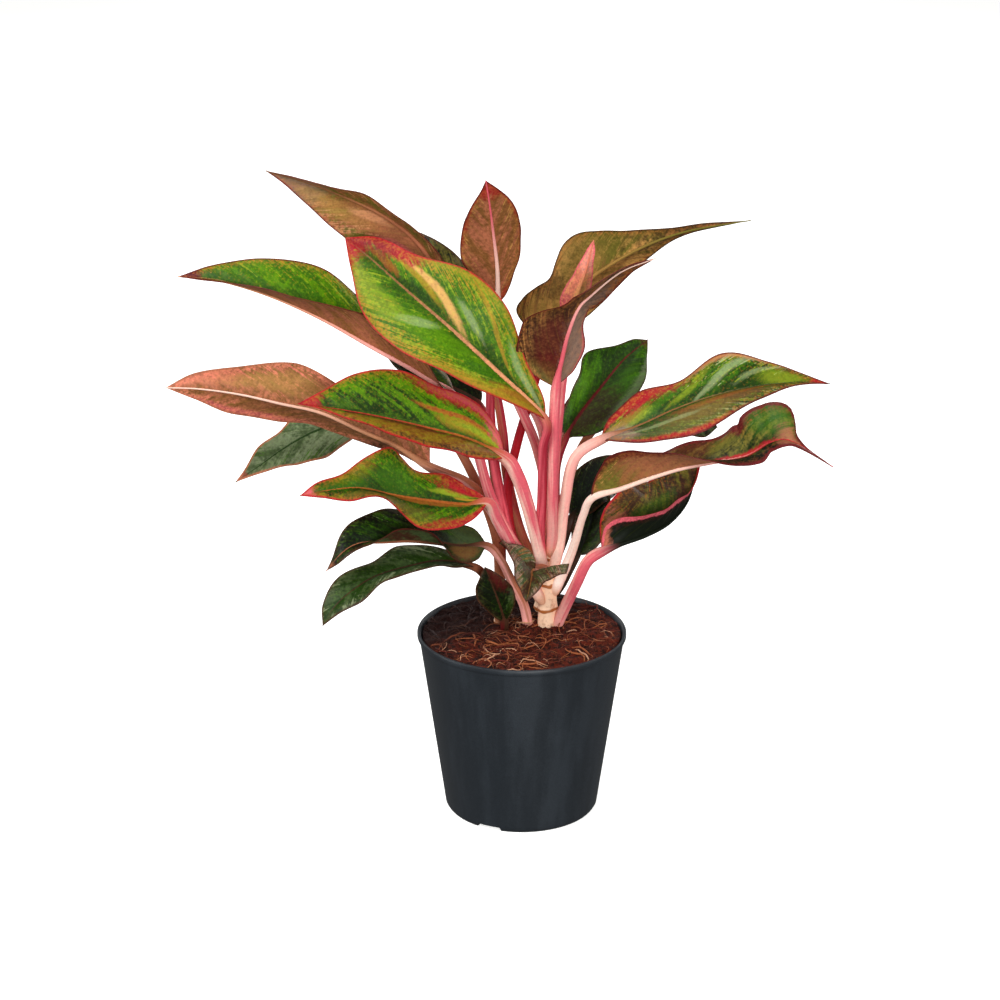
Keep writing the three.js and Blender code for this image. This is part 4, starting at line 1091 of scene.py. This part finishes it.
def build_pot(settings):
    """The pot: walls and floor in one, a bead round the rim, foot notches and drain holes."""
    bead = POT_HEIGHT - BEAD_HEIGHT
    floor = FOOT_HEIGHT + WALL
    outer = BASE_RADIUS - FOOT_INSET
    inner = outer - FOOT_WIDTH
    profile = [
        (0, PAD_LIFT), (PAD_RADIUS, PAD_LIFT), (PAD_RADIUS + FOOT_SLOPE, FOOT_HEIGHT),
        (inner - FOOT_SLOPE, FOOT_HEIGHT), (inner, 0),
    ]
    profile += [(outer + out, up) for out, up in FOOT_ROUND]
    profile += [(pot_radius(z), z) for z in (2, FOOT_HEIGHT, *range(10, int(bead), 10))]
    profile.append((pot_radius(bead), bead - BEAD_DROP))
    profile += [(RIM_RADIUS - far, POT_HEIGHT - down) for far, down in BEAD_ROUND]
    profile += [(pot_radius(z) - WALL, z) for z in (bead, 50, floor)]
    profile.append((0, floor))
    bm = spun(profile, settings.sides)
    cutters = bmesh.new()
    for i in range(NOTCHES):
        turn = Matrix.Rotation(FIRST_NOTCH + 2 * math.pi * i / NOTCHES, 4, "Z")
        place = turn @ Matrix.Translation((BASE_RADIUS, 0, 0))
        shape = Matrix.Diagonal((PAD_RADIUS, NOTCH_WIDTH, 2 * NOTCH_HEIGHT, 1))
        made = bmesh.ops.create_cube(cutters, size=1, matrix=place @ shape)
        edges = {edge for vert in made["verts"] for edge in vert.link_edges}
        inward = [edge for edge in edges if abs(edge.calc_length() - PAD_RADIUS) < 0.1]
        bmesh.ops.bevel(cutters, geom=inward, offset=1, offset_type="OFFSET", segments=3, profile=0.5,
                        material=-1, affect="EDGES")
    for i in range(DRAINS):
        angle = FIRST_NOTCH + 2 * math.pi * (i + 0.5) / DRAINS
        x, y = DRAIN_CIRCLE * math.cos(angle), DRAIN_CIRCLE * math.sin(angle)
        place = Matrix.Translation((x, y, FOOT_HEIGHT))
        bmesh.ops.create_cone(cutters, cap_ends=True, segments=32, radius1=DRAIN_RADIUS, radius2=DRAIN_RADIUS,
                              depth=4 * WALL, matrix=place)
    return carve(bm, cutters)


def pot_material(settings):
    """Moulded plastic: satin, a little streaked from the mould, and dusty in patches."""
    finish = Finish("pot_plastic")
    place = finish.place()
    x, y, z = finish.parts(place)
    streaks = finish.noise(finish.vector(x * 60, y * 60, z * 4), 1, 3, 0.6)
    dust = finish.noise(place, 90, 4, 0.7)
    grain = finish.noise(place, 2600, 2, 0.6)
    bloom = streaks.step(0.4, 0.65) * 0.6 + dust.step(0.5, 0.75) * 0.2 + grain.step(0.4, 0.6, -0.25, 0.35)
    bloom = bloom.least(1).most(0)
    colour = finish.mix(bloom, settings.plastic, settings.bloom)
    rough = streaks.step(0.3, 0.7, 0.36, 0.46) + dust * 0.06
    normal = finish.bump(grain + streaks * 0.5, 0.00012, 0.5)
    return finish.done(base_color=colour, roughness=rough, normal=normal, specular_ior_level=0.4)


def soil_height(x, y):
    """The height of the loose top of the soil, which stands a little above the solid."""
    r = math.hypot(x, y) / RIM_RADIUS
    lumps = math.sin(0.31 * x + 1.3) * math.cos(0.27 * y) + math.sin(0.13 * x - 0.55 * y + 0.7)
    return SOIL_LEVEL + SOIL_LOOSE + SOIL_CROWN * (1 - r * r) + SOIL_LUMP * lumps / 2


def crumbs(x, y, rough):
    """How far the crumbs of coir stand up from the surface."""
    return rough * sum(high * noise.noise(Vector((x * fine, y * fine, own))) for fine, high, own in CRUMBS)


def build_soil(settings):
    """The coir mix, with a crumbled top."""
    edge = pot_radius(SOIL_LEVEL) - WALL - SOIL_GAP
    foot = FOOT_HEIGHT + WALL + 0.3
    shoulder = SOIL_LEVEL - 8
    profile = [(edge * i / SOIL_RINGS, SOIL_LEVEL) for i in range(SOIL_RINGS + 1)]
    profile += [(edge - 0.1, SOIL_LEVEL - 2), (pot_radius(shoulder) - WALL - SOIL_GAP, shoulder),
                (pot_radius(foot) - WALL - 0.6, foot), (0, foot)]
    bm = spun(profile, SOIL_SIDES)
    rough = settings.crumb / MM
    for vert in bm.verts:
        if vert.co.z > SOIL_LEVEL - 1:
            x, y = vert.co.x, vert.co.y
            away = math.hypot(x, y) / edge
            vert.co.z = soil_height(x, y) + crumbs(x, y, rough) * (1 - 0.5 * away ** 8)
    return bm


def painted_shadow(finish):
    """A painted shadow on the soil and its fibres: darkest behind the stems on the left."""
    place = finish.place()
    x, y = finish.parts(place)[:2]
    lumps = finish.noise(place, 90, 3, 0.6)
    return (y - x * 0.8 + (lumps - 0.5) * 0.05).step(-0.008, 0.03) * 0.95


def soil_material(settings):
    """Coir crumbs: painted shade in the hollows, red-brown crumbs, pale flecks of fibre, and a painted shadow
    behind the stems on the left.
    """
    finish = Finish("soil_coir")
    place = finish.place()
    lumps = finish.noise(place, 260, 5, 0.7)
    fine = finish.noise(place, 1300, 4, 0.7)
    threads = finish.noise(place, 700, 2, 0.5, 2)
    # Painted shade: the dark coir colour fills the hollows that the bump below sinks
    colour = finish.mix(lumps.step(0.38, 0.62), settings.dark, settings.brown)
    colour = finish.mix(threads.step(0.6, 0.7) * 0.5, colour, settings.tan)
    # Painted shadow, darkest behind the stems on the left
    colour = finish.mix(painted_shadow(finish), colour, settings.dark)
    # Painted shade in the fine hollows of the bump
    colour = finish.mix(fine.step(0.45, 0.3) * 0.6, colour, settings.dark)
    normal = finish.bump(lumps + fine * 0.5, 0.0009, 0.9)
    return finish.done(base_color=colour, roughness=0.95, normal=normal, specular_ior_level=0.2)


def build_fibres(settings):
    """Loose coir fibres and roots, lying on the soil."""
    bm = bmesh.new()
    tint = bm.verts.layers.float.new("Tint")
    number = bm.verts.layers.float.new("Number")
    dice = random.Random(21)
    edge = pot_radius(SOIL_LEVEL) - WALL - 1.5
    rough = settings.crumb / MM
    fibres = []
    for i in range(settings.fibres):
        away = edge * math.sqrt(dice.random())
        angle = dice.uniform(0, 2 * math.pi)
        stout = dice.random() ** 4
        fibres.append((
            away * math.cos(angle), away * math.sin(angle), dice.uniform(0, 2 * math.pi),
            dice.uniform(*FIBRE_LENGTH) + STOUT_LENGTH * stout, dice.uniform(*FIBRE_BEND),
            FIBRE_RADIUS + STOUT_RADIUS * stout, dice.uniform(*FIBRE_RISE) + HIGH_RISE * dice.random() ** 4,
            dice.random(),
        ))
        rod = bmesh.ops.create_cone(bm, cap_ends=True, segments=5, radius1=1, radius2=1, depth=2)
        for vert in rod["verts"]:
            vert[number] = i
    split_lengthwise(bm, bm.edges, 8)
    for vert in bm.verts:
        x, y, heading, long, bend, radius, rise, shade = fibres[round(vert[number])]
        t = (vert.co.z + 1) / 2
        turn = heading + bend * t
        x += math.cos(turn) * long * (t - 0.5)
        y += math.sin(turn) * long * (t - 0.5)
        far = math.hypot(x, y)
        if far > edge:
            x, y = x * edge / far, y * edge / far
        z = soil_height(x, y) + crumbs(x, y, rough) * 0.6 - 0.5 + rise * math.sin(math.pi * t)
        thin = radius * (1 - 0.75 * abs(2 * t - 1) ** 3)
        spot = Vector((-math.sin(turn), math.cos(turn), 0)) * vert.co.x + Vector((0, 0, 1)) * vert.co.y
        vert.co = Vector((x, y, z)) + spot * thin
        vert[tint] = shade
    return bm


def fibre_material(settings):
    """Fibres from dark to straw, with painted shade in their fine hollows and a painted shadow behind the
    stems on the left.
    """
    finish = Finish("soil_fibre")
    tint = finish.number("Tint")
    fine = finish.noise(finish.place(), 900, 3, 0.6)
    colour = finish.mix(tint.step(0.1, 0.6), settings.brown, settings.tan)
    colour = finish.mix(tint.step(0.75, 0.95), colour, settings.straw)
    # Painted shade in the fine hollows of the bump
    colour = finish.mix(fine.step(0.55, 0.3) * 0.6, colour, settings.dark)
    # Painted shadow, darkest behind the stems on the left
    colour = finish.mix(painted_shadow(finish), colour, settings.dark)
    return finish.done(base_color=colour, roughness=0.8, normal=finish.bump(fine, 0.0002, 0.6),
                       specular_ior_level=0.3)


def build_stem(stem):
    """A stem with ring scars where old leaves came off."""
    points = [Vector(p) for p in stem.points]
    bm = bmesh.new()
    ring = bm.verts.layers.float.new("Scar")
    rows = stem.scars * STEM_ROWS
    bmesh.ops.create_cone(bm, cap_ends=True, segments=32, radius1=1, radius2=1, depth=2)
    split_lengthwise(bm, bm.edges, rows)
    for vert in bm.verts:
        t = (vert.co.z + 1) / 2
        place, forward = spline(points, t)
        lean = noise.noise(Vector((vert.co.x, vert.co.y, 5 * t))) * 0.03
        turn = (t + lean) * stem.scars - 1 / 3
        scar = math.exp(-((turn - round(turn)) / SCAR_WIDTH) ** 2)
        knob = KNOBS * noise.noise(Vector((vert.co.x * 2, vert.co.y * 2, 14 * t)))
        radius = along(stem.radius, t) + SCAR_RISE * scar + knob
        vert.co = place + Vector((vert.co.x, vert.co.y, 0)) * radius
        vert[ring] = scar
    return bm


def stem_material(settings):
    """Tan skin, with brown scars and fine cracks."""
    finish = Finish("stem_bark")
    scar = finish.number("Scar")
    place = finish.place()
    mottle = finish.noise(place, 260, 4, 0.65)
    fine = finish.noise(place, 1500, 3, 0.6)
    colour = finish.mix(mottle.step(0.5, 0.7) * 0.5, settings.bark, settings.scar)
    colour = finish.mix((scar + mottle * 0.6).step(0.5, 0.95), colour, settings.scar)
    normal = finish.bump(mottle + fine * 0.4, 0.0004, 0.7)
    return finish.done(base_color=colour, roughness=0.6, normal=normal, specular_ior_level=0.4)


class EVERGREEN_OT_pot(bpy.types.Operator):
    """Builds the nursery pot"""
    bl_idname = "evergreen.pot"
    bl_label = "Pot"

    def execute(self, context):
        settings = context.scene.evergreen_pot
        finish_piece(build_pot(settings), "nursery_pot", pot_material(settings), "pot")
        return {"FINISHED"}


class EVERGREEN_OT_soil(bpy.types.Operator):
    """Builds the coir mix and its loose fibres"""
    bl_idname = "evergreen.soil"
    bl_label = "Soil"

    def execute(self, context):
        settings = context.scene.evergreen_soil
        finish_piece(build_soil(settings), "coir_mix", soil_material(settings), "soil", 180)
        finish_piece(build_fibres(settings), "coir_fibres", fibre_material(settings), None, 60)
        return {"FINISHED"}


class EVERGREEN_OT_stems(bpy.types.Operator):
    """Builds the stems"""
    bl_idname = "evergreen.stems"
    bl_label = "Stems"

    def execute(self, context):
        material = stem_material(context.scene.evergreen_stem)
        for stem in STEMS:
            finish_piece(build_stem(stem), "ringed_" + stem.name, material, stem.name, 50)
        return {"FINISHED"}


class EVERGREEN_OT_leaves(bpy.types.Operator):
    """Builds the leaves with their stalks"""
    bl_idname = "evergreen.leaves"
    bl_label = "Leaves"

    def execute(self, context):
        settings = context.scene.evergreen_leaf
        paints = context.scene.evergreen_paints
        for seed, leaf in enumerate(LEAVES):
            material = leaf_material(leaf, DRESSES[leaf.number], paints, seed)
            bm = build_leaf(leaf, settings, seed)
            finish_piece(bm, "grown_" + leaf.number, material, leaf.number, 50)
        return {"FINISHED"}


class EVERGREEN_OT_stage(bpy.types.Operator):
    """Lays the floor and sets the lights and the camera"""
    bl_idname = "evergreen.stage"
    bl_label = "Stage"

    def execute(self, context):
        scene = context.scene
        settings = scene.evergreen_stage
        bm = bmesh.new()
        bmesh.ops.create_grid(bm, x_segments=1, y_segments=1, size=FLOOR_REACH)
        mesh = bpy.data.meshes.new("floor")
        bm.to_mesh(mesh)
        bm.free()
        finish = Finish("floor_paper")
        mesh.materials.append(finish.done(base_color=settings.floor, roughness=0.9, specular_ior_level=0.1,
                                          emission_color=settings.floor, emission_strength=settings.glow))
        floor = bpy.data.objects.new("floor", mesh)
        floor.visible_glossy = False
        floor.visible_diffuse = False
        scene.collection.objects.link(floor)

        target = Vector(settings.target)
        for name, place, size, power in LIGHTS:
            lamp = bpy.data.lights.new(name, "AREA")
            lamp.shape = "DISK"
            lamp.size = size
            lamp.energy = power * settings.light
            light = bpy.data.objects.new(name, lamp)
            light.location = place
            light.rotation_euler = (target - Vector(place)).to_track_quat("-Z", "Y").to_euler()
            scene.collection.objects.link(light)
        world = bpy.data.worlds.new("studio")
        world.use_nodes = True
        background = world.node_tree.nodes["Background"]
        background.inputs["Color"].default_value = (1, 1, 1, 1)
        background.inputs["Strength"].default_value = WORLD_LIGHT * settings.light
        scene.world = world
        scene.view_settings.view_transform = "Standard"

        lens = bpy.data.cameras.new("camera")
        lens.lens = settings.lens
        lens.sensor_width = SENSOR
        camera = bpy.data.objects.new("camera", lens)
        rise = settings.elevation
        camera.location = target + Vector((0, -math.cos(rise), math.sin(rise))) * settings.distance
        camera.rotation_euler = (math.pi / 2 - rise, 0, 0)
        scene.collection.objects.link(camera)
        scene.camera = camera
        return {"FINISHED"}


class EVERGREEN_PT_panel(bpy.types.Panel):
    """Lists the pieces in the sidebar"""
    bl_idname = "EVERGREEN_PT_panel"
    bl_label = "Evergreen"
    bl_space_type = "VIEW_3D"
    bl_region_type = "UI"
    bl_category = "Evergreen"

    def draw(self, context):
        for operator in OPERATORS:
            self.layout.operator(operator.bl_idname)


OPERATORS = (EVERGREEN_OT_stage, EVERGREEN_OT_pot, EVERGREEN_OT_soil, EVERGREEN_OT_stems, EVERGREEN_OT_leaves)
GROUPS = {
    "evergreen_paints": LeafPaints,
    "evergreen_leaf": LeafSettings,
    "evergreen_pot": PotSettings,
    "evergreen_soil": SoilSettings,
    "evergreen_stem": StemSettings,
    "evergreen_stage": StageSettings,
}


def register():
    """Registers the settings, the operators and the panel."""
    for name, group in GROUPS.items():
        bpy.utils.register_class(group)
        setattr(bpy.types.Scene, name, PointerProperty(type=group))
    for operator in OPERATORS:
        bpy.utils.register_class(operator)
    bpy.utils.register_class(EVERGREEN_PT_panel)


def unregister():
    """Takes away what register added."""
    bpy.utils.unregister_class(EVERGREEN_PT_panel)
    for operator in reversed(OPERATORS):
        bpy.utils.unregister_class(operator)
    for name, group in GROUPS.items():
        delattr(bpy.types.Scene, name)
        bpy.utils.unregister_class(group)


def main():
    """Builds every piece."""
    register()
    bpy.ops.evergreen.stage()
    bpy.ops.evergreen.pot()
    bpy.ops.evergreen.soil()
    bpy.ops.evergreen.stems()
    bpy.ops.evergreen.leaves()


if __name__ == "__main__":
    main()
